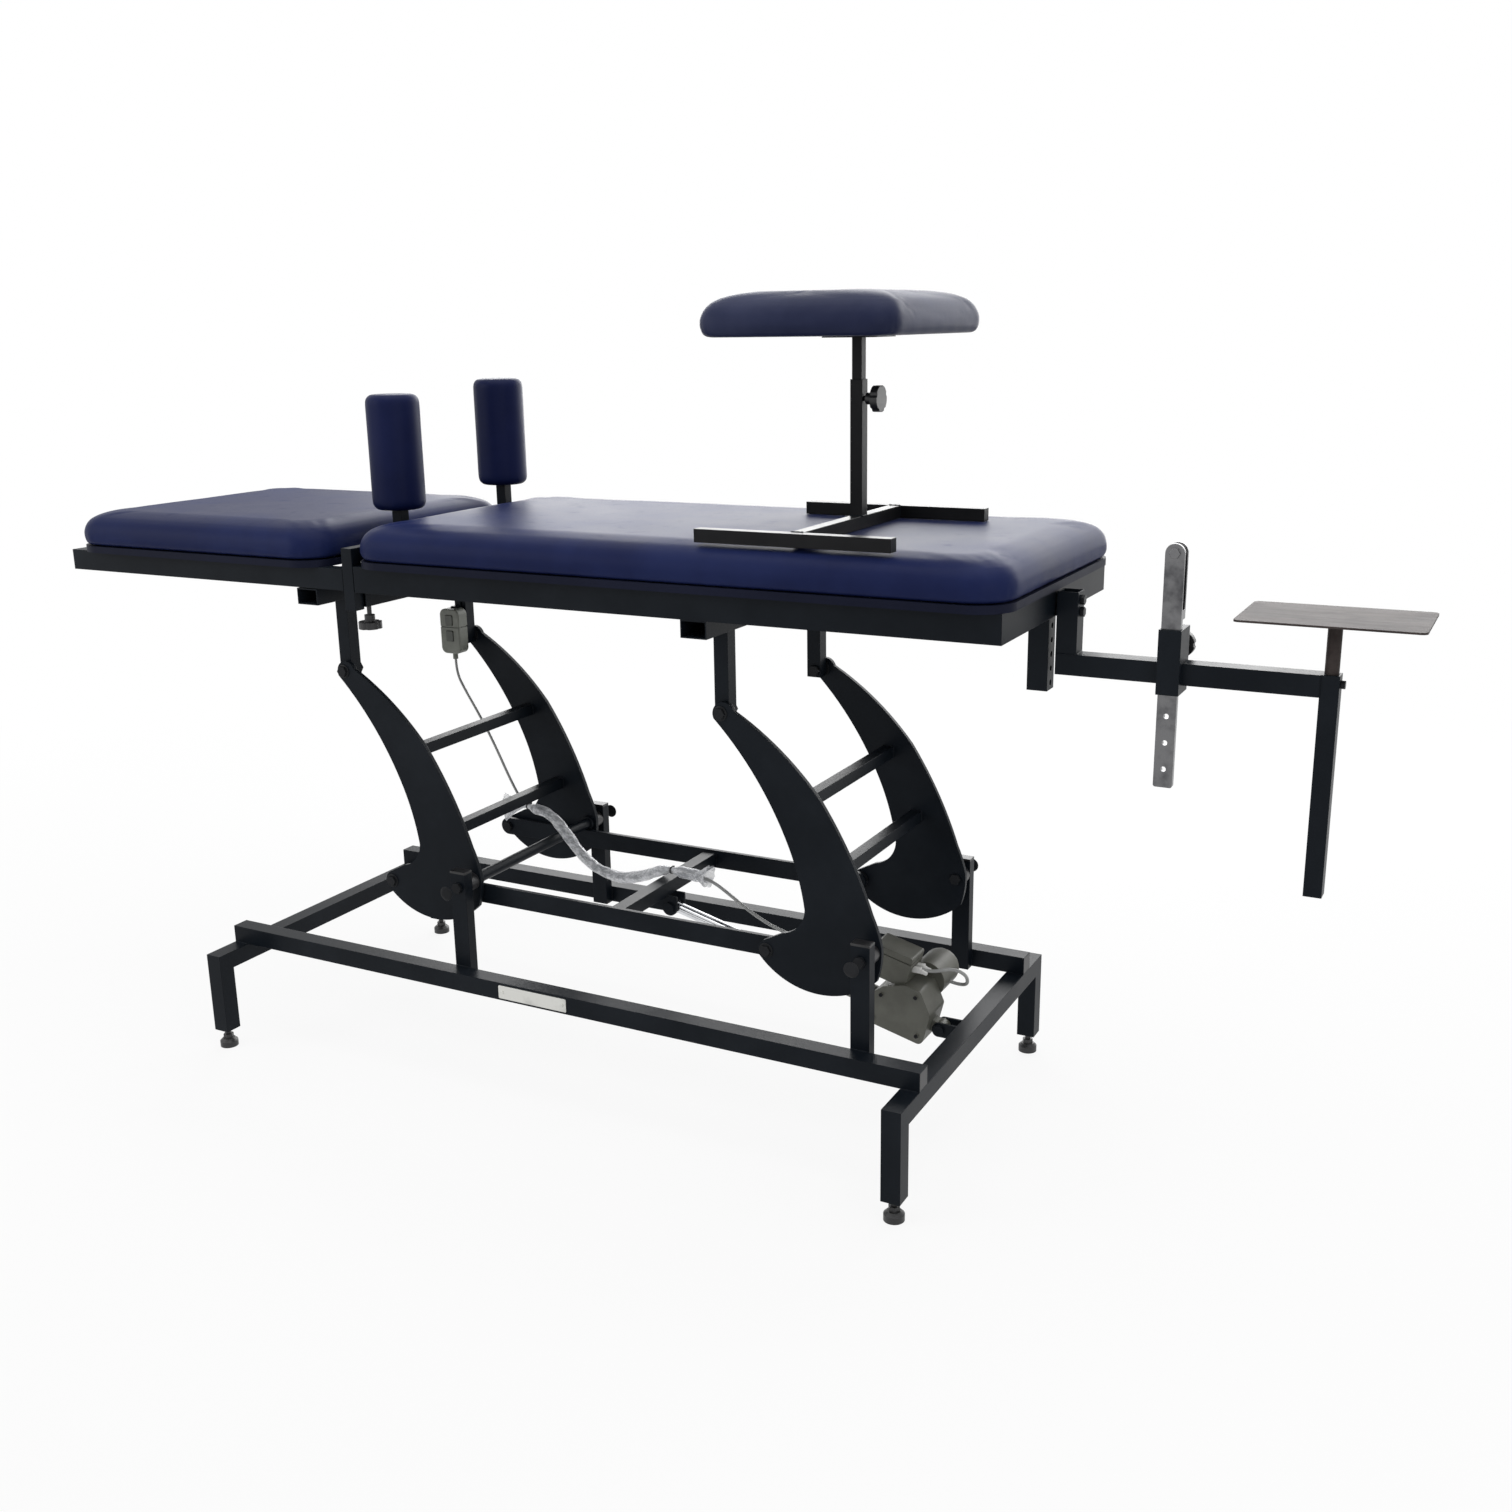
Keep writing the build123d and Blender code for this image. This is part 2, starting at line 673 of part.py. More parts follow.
main_z = (frame_bottom, frame_top)
main_frame = ring_frame((main_left, main_right), top_half, main_z, frame_side)
for x in ((main_left * 2 + main_right) / 3, (main_left + main_right * 2) / 3):
    main_frame += tube(span(x, frame_side), (-top_half + frame_side, top_half - frame_side),
                       (frame_top - frame_side, frame_top), "y")
notch_side = slide_bar_side + 2 * slide_gap
bar_low = frame_bottom + slide_gap
for side in sides:
    notch_y = span(side * slide_bar_centre, notch_side)
    main_frame -= block((main_left - overrun, main_left + frame_side + overrun), notch_y,
                        (frame_bottom - overrun, bar_low + slide_bar_side + slide_gap))
save("main_frame", main_frame)

# Head section: sliding frame with two bars that run into the long section
head_z = (frame_bottom + head_lift, frame_bottom + head_lift + head_frame_height)
head_frame = ring_frame((head_left, head_right), top_half, head_z, frame_side)
for side in sides:
    bar = tube((head_left + frame_side, slide_bar_end), span(side * slide_bar_centre,
               slide_bar_side), (bar_low, bar_low + slide_bar_side), "x")
    head_frame += bar
head_middle = (head_left + head_right) / 2
bar_inner = slide_bar_centre - slide_bar_side / 2
head_frame += tube(span(head_middle, frame_side), (-bar_inner, bar_inner), head_z, "y")
save("head_frame", head_frame)


def cushion(x, half, low, height, corner, crown):
    # Rounded-rectangle sections: drawn in at the base, full at mid height, crowned on top.
    rise_shares = (0.0, 0.10, 0.28, 0.48, 0.66, 0.80, 0.90, 0.96, 1.0)
    inset_shares = (0.08, 0.03, 0.0, 0.02, 0.08, 0.18, 0.33, 0.55, 1.0)
    sections = []
    for rise, inset in zip(rise_shares, inset_shares):
        shrink = 2 * inset * crown
        face = RectangleRounded(x[1] - x[0] - shrink, 2 * half - shrink,
                                corner * (1 - inset / 2))
        sections.append(Pos(sum(x) / 2, 0, low + rise * height) * face)
    return loft(sections, ruled=True)


def board(x, low):
    # Board under a cushion, with the same rounded corners.
    half = cushion_half - board_inset
    plan = RectangleRounded(x[1] - x[0] - 2 * board_inset, 2 * half, cushion_round - board_inset)
    return Pos(sum(x) / 2, 0, low) * extrude(plan, board_thickness)


# Boards and cushions
head_top = head_z[1]
head_board_z = (head_top, head_top + board_thickness)
save("head_board", board((head_cushion_left, head_cushion_right), head_top))
save("head_cushion", cushion((head_cushion_left, head_cushion_right), cushion_half,
                             head_board_z[1] + slide_gap, cushion_height, cushion_round,
                             cushion_crown))
main_board_z = (frame_top, frame_top + board_thickness)
save("main_board", board((main_cushion_left, main_cushion_right), frame_top))
save("main_cushion", cushion((main_cushion_left, main_cushion_right), cushion_half,
                             main_board_z[1] + slide_gap, cushion_height, cushion_round,
                             cushion_crown))

# Armpit bridge: an inverted U over the gap between the sections
bridge = block(bridge_x, (-top_half, top_half), (bridge_foot, bridge_top))
bridge -= block((bridge_x[0] - overrun, bridge_x[1] + overrun),
                (-top_half + bridge_width, top_half - bridge_width),
                (bridge_foot - overrun, bridge_top - bridge_bar))
save("armpit_bridge", bridge)


def armpit_post(y, bottom):
    # Saddle that grips the bridge bar, with the stem above it.
    wide = span(y, saddle_width)
    out_x = (bridge_x[0] - slide_gap - saddle_wall, bridge_x[1] + slide_gap + saddle_wall)
    top = bridge_top + slide_gap + saddle_wall
    saddle = block(out_x, wide, (bridge_top - bridge_bar, top))
    saddle -= block((bridge_x[0] - slide_gap, bridge_x[1] + slide_gap),
                    (wide[0] - overrun, wide[1] + overrun),
                    (bridge_top - bridge_bar - overrun, bridge_top + slide_gap))
    x = sum(bridge_x) / 2
    stem = block(span(x, armpit_stem_side), span(y, armpit_stem_side),
                 (top, bottom + roll_height / 2))
    return saddle + stem


def armpit_roll(y, bottom):
    x = sum(bridge_x) / 2
    roll = pin(x, y, (bottom, bottom + roll_height), roll_radius, "z")
    roll = fillet(roll.edges().filter_by(GeomType.CIRCLE), roll_round)
    socket = armpit_stem_side + 2 * pin_gap
    return roll - block(span(x, socket), span(y, socket),
                        (bottom - overrun, bottom + roll_height / 2 + pin_gap))


for name, y, bottom in (("near", near_armpit_y, roll_bottom),
                        ("far", far_armpit_y, roll_bottom + far_roll_raise)):
    save(f"{name}_armpit_post", armpit_post(y, bottom))
    save(f"{name}_armpit_roll", armpit_roll(y, bottom))

# Lock knob: its screw goes up through the cross tube against the near slide bar
lock_screw = lock_knob_drop + under_height
lock_knob = star_knob(knob_radius, knob_height, lock_screw)
save("head_lock_knob", Pos(lock_tube_x, -slide_bar_centre, under_bottom - lock_knob_drop)
     * lock_knob)

# Leg stool standing on the long cushion
bars_y = stool_y - stool_near
stool = block(span(stool_x, stool_bar_side), span(bars_y, stool_spread - stool_bar_side),
              (stool_low, stool_high))
for side in sides:
    y = bars_y + side * (stool_spread - stool_bar_side) / 2
    stool += block(span(stool_x - stool_back, stool_bar_length), span(y, stool_bar_side),
                   (stool_low, stool_high))
sleeve_inside = stool_inner_side + 2 * slide_gap
column = block(span(stool_x, stool_bar_side), span(stool_y, stool_bar_side),
               (stool_high, stool_post_top))
stool += column
stool -= block(span(stool_x, sleeve_inside), span(stool_y, sleeve_inside),
               (stool_high, stool_post_top + overrun))
screw_hole = pin((stool_x, stool_x + half_width), stool_y, stool_knob_height,
                 knob_screw_radius + pin_gap, "x")
save("stool_base", stool - screw_hole)
inner_low = stool_post_top - stool_inner_reach
inner = block(span(stool_x, stool_inner_side), span(stool_y, stool_inner_side),
              (inner_low, stool_pad_bottom - pad_plate_thickness))
pad_x = stool_x - stool_pad_shift
flange = block(span(stool_x, pad_plate_side), span(stool_y, pad_plate_side),
               (stool_pad_bottom - pad_plate_thickness, stool_pad_bottom))
flange = fillet(flange.edges().filter_by(Axis.Z), stool_bar_side / 2)
save("stool_post", inner + flange)
pad = cushion(span(pad_x, stool_pad_length), stool_pad_width / 2, stool_pad_bottom,
              stool_pad_height, stool_pad_round, stool_pad_crown)
save("stool_pad", Pos(0, stool_y, 0) * pad)
stool_screw = (stool_bar_side - stool_inner_side) / 2 + knob_screw_radius
knob = star_knob(knob_radius, knob_height, stool_screw - slide_gap)
save("stool_knob", Pos(stool_x + stool_inner_side / 2 + stool_screw, stool_y, stool_knob_height)
     * Rot(0, -90, 0) * knob)

# Traction guide under the right end and the two bolts that hold the arm
guide = tube(span(guide_x, tube_side), span(0, tube_side), (guide_bottom, frame_bottom), "z")
for n in range(guide_holes):
    z = guide_bottom + guide_hole_pitch * (n + 1 / 2)
    guide -= pin((guide_x, guide_x + tube_side), 0, z, guide_hole_radius, "x")
save("traction_guide", guide)
arm_bolts = []
arm_spacer = (main_right, arm_x)
for side in sides:
    z = arm_bolt_height + side * arm_bolt_pitch / 2
    shank = pin((main_right, arm_x + arm_side), 0, z, arm_bolt_radius, "x")
    collar = pin(arm_spacer, 0, z, arm_bolt_pitch / 2 - pin_gap, "x")
    head = hexagon((arm_x + arm_side, arm_x + arm_side + bolt_head_height), 0, z,
                   arm_bolt_radius * 3 / 2, "x")
    arm_bolts.append(shank + collar + head)
save("arm_mount_bolts", *arm_bolts)

# Traction arm: upright, long beam and hanging end tube, welded
half_arm = arm_side / 2
arm_y = (-half_arm, half_arm)
arm_top = arm_bottom + arm_side
upright = tube((arm_x, arm_x + arm_side), arm_y, (arm_top, arm_top_stub), "z")
for side in sides:
    upright -= pin((main_right, arm_x + 2 * arm_side), 0,
                   arm_bolt_height + side * arm_bolt_pitch / 2,
                   arm_bolt_radius + pin_gap, "x")
beam_end = arm_end_x - end_tube_side
half_end = end_tube_side / 2
beam = tube((arm_x, beam_end), arm_y, (arm_bottom, arm_top), "x")
beam_caps = block((arm_x, arm_x + tube_wall), arm_y, (arm_bottom, arm_top))
beam_caps += block((beam_end - tube_wall, beam_end), arm_y, (arm_bottom, arm_top))
end_tube = tube((beam_end, arm_end_x), (-half_end, half_end), (end_tube_bottom, arm_top), "z")
stem_hole = pin(shelf_x, 0, (arm_bottom, arm_top + overrun), stem_radius + pin_gap, "z")
stem_guide = block((beam_end + tube_wall, arm_end_x - tube_wall),
                   (-half_end + tube_wall, half_end - tube_wall), (clamp_height, arm_top))
clamp_hole = pin((shelf_x, arm_end_x + overrun), 0, clamp_height, knob_screw_radius + pin_gap,
                 "x")
save("traction_arm", upright + beam + beam_caps + ((end_tube + stem_guide) - stem_hole)
     - clamp_hole)

# Slider box: the beam passes through it along X, the pulley bar along Z in front
bar_back = -(half_arm + slide_gap + slider_wall / 2 + slide_gap)
bar_front = bar_back - pulley_bar_thickness
slider_y = (bar_front - slide_gap - slider_wall, half_arm + slide_gap + slider_wall)
slider_span = span(slider_x, slider_length)
slider = block(slider_span, slider_y, (slider_bottom, slider_top))
slider -= block((slider_span[0] - overrun, slider_span[1] + overrun),
                (arm_y[0] - slide_gap, arm_y[1] + slide_gap),
                (arm_bottom - slide_gap, arm_top + slide_gap))
slider -= block(span(slider_x, pulley_bar_width + 2 * slide_gap),
                (bar_front - slide_gap, bar_back + slide_gap),
                (slider_bottom - overrun, slider_top + overrun))
knob_z = arm_top + slider_knob_rise
slider -= pin(slider_x, (bar_back, slider_y[1] + overrun), knob_z,
              knob_screw_radius + pin_gap)
save("pulley_slider", slider)
slider_screw = slider_y[1] - bar_back + knob_hub_radius - 3 * slide_gap
knob = star_knob(knob_radius, knob_height, slider_screw)
save("slider_knob", Pos(slider_x, slider_y[1] + knob_hub_radius, knob_z) * Rot(90, 0, 0) * knob)

# Pulley bar: holed flat bar with a fork for the wheel at its head
bar_y = (bar_front, bar_back)
bar = block(span(slider_x, pulley_bar_width), bar_y, (pulley_bar_bottom, fork_start))
bar = fillet(bar.edges().filter_by(Axis.Y), pulley_bar_thickness / 3)
for n in range(bar_holes):
    z = pulley_bar_bottom + bar_first_hole + bar_hole_pitch * n
    bar -= pin(slider_x, (bar_y[0] - overrun, bar_y[1] + overrun), z, bar_hole_radius)
fork_back = bar_front + 2 * fork_cheek + fork_gap
bar += block(span(slider_x, pulley_bar_width), (bar_front, fork_back),
             (fork_start - pulley_bar_width / 2, fork_start))
for low in (bar_front, bar_front + fork_cheek + fork_gap):
    cheek_y = (low, low + fork_cheek)
    bar += block(span(slider_x, pulley_bar_width), cheek_y, (fork_start, pulley_centre))
    bar += pin(slider_x, cheek_y, pulley_centre, pulley_bar_width / 2)
    bar -= pin(slider_x, (low - overrun, low + fork_cheek + overrun), pulley_centre,
               pulley_bore + pin_gap)
axle = pin(slider_x, (bar_front, fork_back), pulley_centre, pulley_bore)
axle += hexagon(slider_x, (bar_front - bar_hole_radius, bar_front), pulley_centre,
                2 * pulley_bore)
axle += hexagon(slider_x, (fork_back, fork_back + bar_hole_radius), pulley_centre,
                2 * pulley_bore)
save("pulley_bar", bar, axle)
wheel_y = (bar_front + fork_cheek + slide_gap, bar_front + fork_cheek + fork_gap - slide_gap)
wheel_mid = sum(wheel_y) / 2
wheel = pin(slider_x, wheel_y, pulley_centre, pulley_radius)
groove = Torus(pulley_radius + pulley_groove / 2, pulley_groove)
wheel -= Pos(slider_x, wheel_mid, pulley_centre) * Rot(90, 0, 0) * groove
wheel -= pin(slider_x, (wheel_y[0] - overrun, wheel_y[1] + overrun), pulley_centre,
             pulley_bore + pin_gap)
save("pulley_wheel", wheel)

# Shelf for the traction unit on its stem, and the screw that clamps the stem
shelf = block(span(shelf_x, shelf_length), span(0, shelf_depth),
              (shelf_height, shelf_height + shelf_thickness))
shelf = fillet(shelf.edges().filter_by(Axis.Z), shelf_lip)
stem = pin(shelf_x, 0, (arm_top - stem_inside, shelf_height), stem_radius, "z")
boss = pin(shelf_x, 0, (shelf_height - shelf_lip, shelf_height), stem_radius * 2, "z")
save("shelf", shelf + stem + chamfer(boss.edges().group_by(Axis.Z)[0], shelf_lip / 2))
clamp_screw = pin((shelf_x + stem_radius + slide_gap, arm_end_x + slide_gap), 0, clamp_height,
                  knob_screw_radius, "x")
clamp_head = pin((arm_end_x + slide_gap, arm_end_x + slide_gap + clamp_head_radius), 0,
                 clamp_height, clamp_head_radius, "x")
save("shelf_clamp_screw", clamp_screw + clamp_head)

# Handset hooked on the far left hanger, with two sprung buttons
nut_face = hanger_inner - slide_gap - bolt_head_height
handset_y = nut_face - slide_gap - handset_depth / 2
handset_x = top_pivot_x[0] - hanger_shift - handset_shift
shell = block(span(handset_x, handset_width), span(handset_y, handset_depth),
              (handset_top - handset_height, handset_top))
shell = fillet(shell.edges().filter_by(Axis.Y), handset_round * 2)
shell = fillet(shell.edges().group_by(Axis.Y)[0], handset_round / 2)
face_y = handset_y - handset_depth / 2
button_z = (handset_top - handset_height / 4, handset_top - handset_height * 3 / 5)
pocket = button_proud + button_travel + slide_gap
for z in button_z:
    shell -= block(span(handset_x, button_width + 2 * slide_gap),
                   (face_y - overrun, face_y + pocket), span(z, button_height + 2 * slide_gap))
waist_z = handset_top - handset_height * 2 / 5
waist = block(span(handset_x, 2 * handset_width), span(handset_y, 2 * handset_depth),
              span(waist_z, button_proud))
waist -= block(span(handset_x, handset_width - 2 * button_proud),
               span(handset_y, handset_depth - 2 * button_proud),
               span(waist_z, 2 * button_proud))
gland_z = handset_top - handset_height
gland = pin(handset_x, handset_y, (gland_z - 2 * handset_round, gland_z), 2 * cord_radius, "z")
save("handset", shell - waist + gland)
for z, name in zip(button_z, ("up", "down")):
    button = block(span(handset_x, button_width),
                   (face_y - button_proud, face_y + pocket - button_travel - slide_gap),
                   span(z, button_height))
    save(f"handset_{name}_button", fillet(button.edges().filter_by(Axis.Y), handset_round / 2))
hook_y = (hanger_inner - hook_thickness, hanger_inner)
hook = block(span(handset_x, hook_width), hook_y, (handset_top - 3 * handset_round,
                                                    under_bottom))
hook += block(span(handset_x, hook_width), (hook_y[0] - handset_depth / 2, hook_y[1]),
              (handset_top, handset_top + hook_thickness))
save("handset_hook", hook)


def cord_tube(name, route, radius):
    # Straight runs joined by tangent arcs; each arc as large as its two runs allow.
    points = [Vector(*p) for p in route]
    runs = [(b - a).length for a, b in zip(points, points[1:])]
    radii = []
    for n in range(1, len(points) - 1):
        into = (points[n] - points[n - 1]).normalized()
        out = (points[n + 1] - points[n]).normalized()
        half_turn = into.get_angle(out) / 2
        radii.append(0.45 * min(runs[n - 1], runs[n]) / tan(radians(half_turn)))
    path = FilletPolyline(*points, radius=radii)
    end = Plane(path @ 0, z_dir=path % 0) * Circle(radius)
    solid = sweep(end, path=path)
    print(name, "radii", [round(r) for r in radii], "length", round(path.length),
          "volume share", round(solid.volume / (pi * radius ** 2 * path.length), 4))
    return solid


# Handset cord: hangs from the gland and swings right and down into the sleeve
def stepped(place, steps):
    return [tuple(Vector(*place) + Vector(*step)) for step in steps]


low_rod = arm_point(left_low_rod_shares, left_pivot_x)
under_rod = (low_rod[0], 0, low_rod[1] - rod_side / 2 - sleeve_radius)
sleeve_start = stepped(under_rod, [sleeve_entry])[0]
cord_start = (handset_x, handset_y, gland_z - 2 * handset_round)
cord_end = stepped(sleeve_start, [(-lead_radius, 0, lead_radius)])
save("handset_cord", cord_tube("handset_cord", [cord_start] + stepped(cord_start, cord_steps)
                               + cord_end, cord_radius))

# Loom sleeve: tied under the low rod, over the torque tube, along and over the crossbar
over_bar = (crossbar_x, 0, lug_height + crossbar_side / 2 + sleeve_radius)
run = crossbar_x - left_pivot_x
sleeve_route = [sleeve_start] + stepped(under_rod, rod_steps)
sleeve_route += [(left_pivot_x + share * run, side, pivot_height + drop) for share, side, drop
                 in zip(sleeve_shares, sleeve_sides, sleeve_drops)]
sleeve_route += stepped(over_bar, crossbar_steps)
save("cable_sleeve", cord_tube("cable_sleeve", sleeve_route, sleeve_radius))

# Actuator leads: from the sleeve over the jacket to the control box, and the motor loop
ahead = (Vector(*sleeve_route[-1]) - Vector(*sleeve_route[-2])).normalized()
lead_start = Vector(*sleeve_route[-1]) + ahead * slide_gap
face_x, face_z = control_right - control_length - clear_gap, gearbox_high + lead_radius * 5
back_x, back_z = control_right + clear_gap, gearbox_high + lead_radius * 7
lead_end, lead_in, loop_start, loop_out = [
    (tilt * Pos(x, 0, z)).position for x, z in (
        (face_x, face_z), (face_x - lead_stub, face_z), (back_x, back_z),
        (back_x + lead_stub, back_z))
]
run = lead_end.X - lead_start.X
lead_route = [lead_start, lead_start + ahead * lead_stub]
lead_route += [(lead_start.X + share * run, 0, lead_start.Z + drop)
               for share, drop in zip(lead_shares, lead_drops)]
lead_route += [lead_in, lead_end]
loop_route = [loop_start, loop_out] + stepped(loop_start, loop_steps)
save("actuator_leads", cord_tube("lead", [tuple(p) for p in lead_route], lead_radius),
     cord_tube("loop", [tuple(p) for p in loop_route], lead_radius))
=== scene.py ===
import json
from functools import cached_property
from math import atan2, cos, pi, radians, sin
import bmesh
import bpy
from mathutils import Matrix, Vector, noise


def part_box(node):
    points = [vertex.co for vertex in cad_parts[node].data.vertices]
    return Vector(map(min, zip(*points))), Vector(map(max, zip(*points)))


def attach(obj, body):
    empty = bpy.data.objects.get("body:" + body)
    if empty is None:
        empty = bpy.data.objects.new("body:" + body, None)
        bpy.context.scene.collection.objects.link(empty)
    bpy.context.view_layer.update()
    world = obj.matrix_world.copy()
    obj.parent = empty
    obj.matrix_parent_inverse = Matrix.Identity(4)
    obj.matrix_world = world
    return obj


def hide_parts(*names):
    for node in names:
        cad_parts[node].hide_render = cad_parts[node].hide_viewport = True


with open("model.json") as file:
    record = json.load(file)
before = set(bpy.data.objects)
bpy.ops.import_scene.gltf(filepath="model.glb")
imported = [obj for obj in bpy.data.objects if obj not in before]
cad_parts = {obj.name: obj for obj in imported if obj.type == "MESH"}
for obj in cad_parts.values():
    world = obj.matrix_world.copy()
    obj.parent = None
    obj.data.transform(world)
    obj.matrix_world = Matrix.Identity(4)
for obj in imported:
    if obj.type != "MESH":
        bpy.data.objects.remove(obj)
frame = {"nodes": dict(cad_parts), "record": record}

# Traction couch: finishes, upholstery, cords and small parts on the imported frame
scene = bpy.context.scene
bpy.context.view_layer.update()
drawingMiddle = 853.25      # where the scene's middle lies in the drawing, in mm


def drawn(x, y, z):
    # a place of the drawing in mm, as a point of the scene in metres
    return Vector(((x - drawingMiddle) / 1000, y / 1000, z / 1000))


# Camera: the photograph's view, fitted to the frame
photoView = {"place": (1.3397, -2.2725, 1.3132), "yaw": -27.865, "pitch": -15.46, "roll": -0.90,
             "lens": 37.41, "sensor": 36.0, "farClip": 60}


def addCamera():
    yaw, pitch, roll = (radians(photoView[k]) for k in ("yaw", "pitch", "roll"))
    ahead = Vector((sin(yaw) * cos(pitch), cos(yaw) * cos(pitch), sin(pitch)))
    level = Vector((cos(yaw), -sin(yaw), 0))
    rise = level.cross(ahead)
    across = level * cos(roll) + rise * sin(roll)
    over = rise * cos(roll) - level * sin(roll)
    data = bpy.data.cameras.new("camera")
    data.lens, data.sensor_width = photoView["lens"], photoView["sensor"]
    data.clip_end = photoView["farClip"]
    camera = bpy.data.objects.new("camera", data)
    turn = Matrix((across, over, -ahead)).transposed().to_4x4()
    camera.matrix_world = Matrix.Translation(photoView["place"]) @ turn
    scene.collection.objects.link(camera)
    scene.camera = camera
    print("stage: camera")


# Soft studio light, most of it from behind and above
lamps = {
    "windowBehind": {"place": (-0.6, 3.6, 1.75), "at": (0.2, 0, 0.75), "size": (5.2, 2.3),
                     "power": 150},
    "overhead": {"place": (0.3, -0.3, 3.6), "at": (0.2, 0, 0.5), "size": (4.0, 3.0), "power": 62},
    "frontLeft": {"place": (-3.2, -3.0, 2.2), "at": (0, 0, 0.7), "size": (2.2, 2.0), "power": 34},
    "frontRight": {"place": (3.4, -2.4, 1.8), "at": (0.2, 0, 0.6), "size": (1.6, 1.6), "power": 14},
}


def addLamps():
    for name, lamp in lamps.items():
        data = bpy.data.lights.new(name, "AREA")
        data.shape = "RECTANGLE"
        data.size, data.size_y = lamp["size"]
        data.energy = lamp["power"]
        light = bpy.data.objects.new(name, data)
        light.location = lamp["place"]
        aim = Vector(lamp["at"]) - Vector(lamp["place"])
        light.rotation_euler = aim.to_track_quat("-Z", "Y").to_euler()
        light.visible_camera = False
        scene.collection.objects.link(light)
    print("stage: lamps", len(lamps))


# Shader writing: a socket that can stand in a sum, and a painter of one node tree
class Sock:
    def __init__(self, paint, out):
        self.paint, self.out = paint, out

    def take(self, how, a, b):
        return self.paint.node("ShaderNodeMath", {"operation": how}, {0: a, 1: b})

    def __add__(self, other):
        return self.take("ADD", self, other)

    def __sub__(self, other):
        return self.take("SUBTRACT", self, other)

    def __rsub__(self, other):
        return self.take("SUBTRACT", other, self)

    def __mul__(self, other):
        return self.take("MULTIPLY", self, other)

    __radd__ = __add__
    __rmul__ = __mul__


class Paint:
    # owner is the material or the world that holds the tree
    def __init__(self, owner, values, shader="Principled BSDF"):
        owner.use_nodes = True
        self.owner, self.tree = owner, owner.node_tree
        self.shader = self.tree.nodes[shader]
        self.feed(values)

    @cached_property
    def place(self):
        return self.node("ShaderNodeTexCoord", out="Object")

    def put(self, socket, value):
        if isinstance(value, Sock):
            self.tree.links.new(value.out, socket)
        elif socket.type == "RGBA":
            socket.default_value = (*value, 1)
        else:
            socket.default_value = value

    def feed(self, values):
        for name, value in values.items():
            self.put(self.shader.inputs[name], value)

    def node(self, kind, settings=None, values=None, out=0):
        made = self.tree.nodes.new(kind)
        for name, value in (settings or {}).items():
            setattr(made, name, value)
        for name, value in (values or {}).items():
            self.put(made.inputs[name], value)
        return Sock(self, made.outputs[out])

    def stretched(self, scales):
        return self.node("ShaderNodeVectorMath", {"operation": "MULTIPLY"},
                         {0: self.place, 1: scales})

    def cloud(self, scale, detail, rough, where=None):
        return self.node("ShaderNodeTexNoise", None, {
            "Vector": where or self.place, "Scale": scale, "Detail": detail, "Roughness": rough})

    def cells(self, scale, feature="F1"):
        return self.node("ShaderNodeTexVoronoi", {"feature": feature},
                         {"Vector": self.place, "Scale": scale})

    def step(self, value, low, high):
        return self.node("ShaderNodeMapRange", {"interpolation_type": "SMOOTHSTEP"},
                         {"Value": value, "From Min": low, "From Max": high})

    def blendColour(self, share, first, second):
        return self.node("ShaderNodeMix", {"data_type": "RGBA"}, {0: share, 6: first, 7: second},
                         out=2)

    def facing(self, axis):
        # how far a surface faces along one axis of the scene, from -1 to 1
        normal = self.node("ShaderNodeNewGeometry", out="Normal")
        return self.node("ShaderNodeSeparateXYZ", None, {0: normal}, out=axis)

    def relief(self, height, strength, depth, corner=0.0):
        values = {"Height": height, "Strength": strength, "Distance": depth}
        if corner:
            values["Normal"] = self.node("ShaderNodeBevel", {"samples": 4}, {"Radius": corner})
        self.feed({"Normal": self.node("ShaderNodeBump", None, values)})


def newPaint(name, values):
    return Paint(bpy.data.materials.new(name), values)


# In the finishes' dictionaries a cloud of noise is its scale, detail and roughness, without
# the scale where each finish gives its own. An edge is where a step starts and ends. Relief
# is its strength, its depth in metres, and the width of rounded corners if there is any

# Powder coat, with dust settled on what faces up
coat = {"deep": (0.0052, 0.0075, 0.0110), "worn": (0.0095, 0.0125, 0.0170),
        "dust": (0.040, 0.043, 0.048), "gloss": 0.09, "rough": 0.30, "patchRough": 0.16,
        "patch": (7.0, 4, 0.6), "patchEdge": (0.35, 0.70), "upEdge": (0.6, 1.0),
        "speck": (190, 3, 0.7), "speckEdge": (0.55, 0.80), "dustShare": 0.45, "dustRough": 0.2,
        "peel": (520.0, 2, 0.5), "relief": (0.16, 0.0004, 0.0016)}


def powderCoat(name, deep, worn, rough):
    paint = newPaint(name, {"Specular IOR Level": coat["gloss"]})
    patch = paint.cloud(*coat["patch"])
    speck = paint.step(paint.cloud(*coat["speck"]), *coat["speckEdge"])
    base = paint.blendColour(paint.step(patch, *coat["patchEdge"]), deep, worn)
    settled = paint.step(paint.facing("Z"), *coat["upEdge"]) * speck * coat["dustShare"]
    paint.feed({"Base Color": paint.blendColour(settled, base, coat["dust"]),
                "Roughness": patch * coat["patchRough"] + rough + settled * coat["dustRough"]})
    paint.relief(paint.cloud(*coat["peel"]), *coat["relief"])
    return paint.owner


# Upholstery vinyl: fine pebble grain with slow tone changes
vinyl = {"deep": (0.0075, 0.0125, 0.0560), "light": (0.0120, 0.0195, 0.0780), "gloss": 0.08,
         "rough": 0.38, "tone": (5.5, 4, 0.55), "toneEdge": (0.36, 0.68), "toneRough": 0.16,
         "rubbed": (26, 5, 0.7), "rubbedEdge": (0.55, 0.75), "rubbedRough": 0.07,
         "pebbles": 760.0, "pebbleHigh": 0.6, "creases": 0.45, "creaseEdge": (0.0, 0.12),
         "creaseHigh": 0.4, "relief": (0.22, 0.00025)}


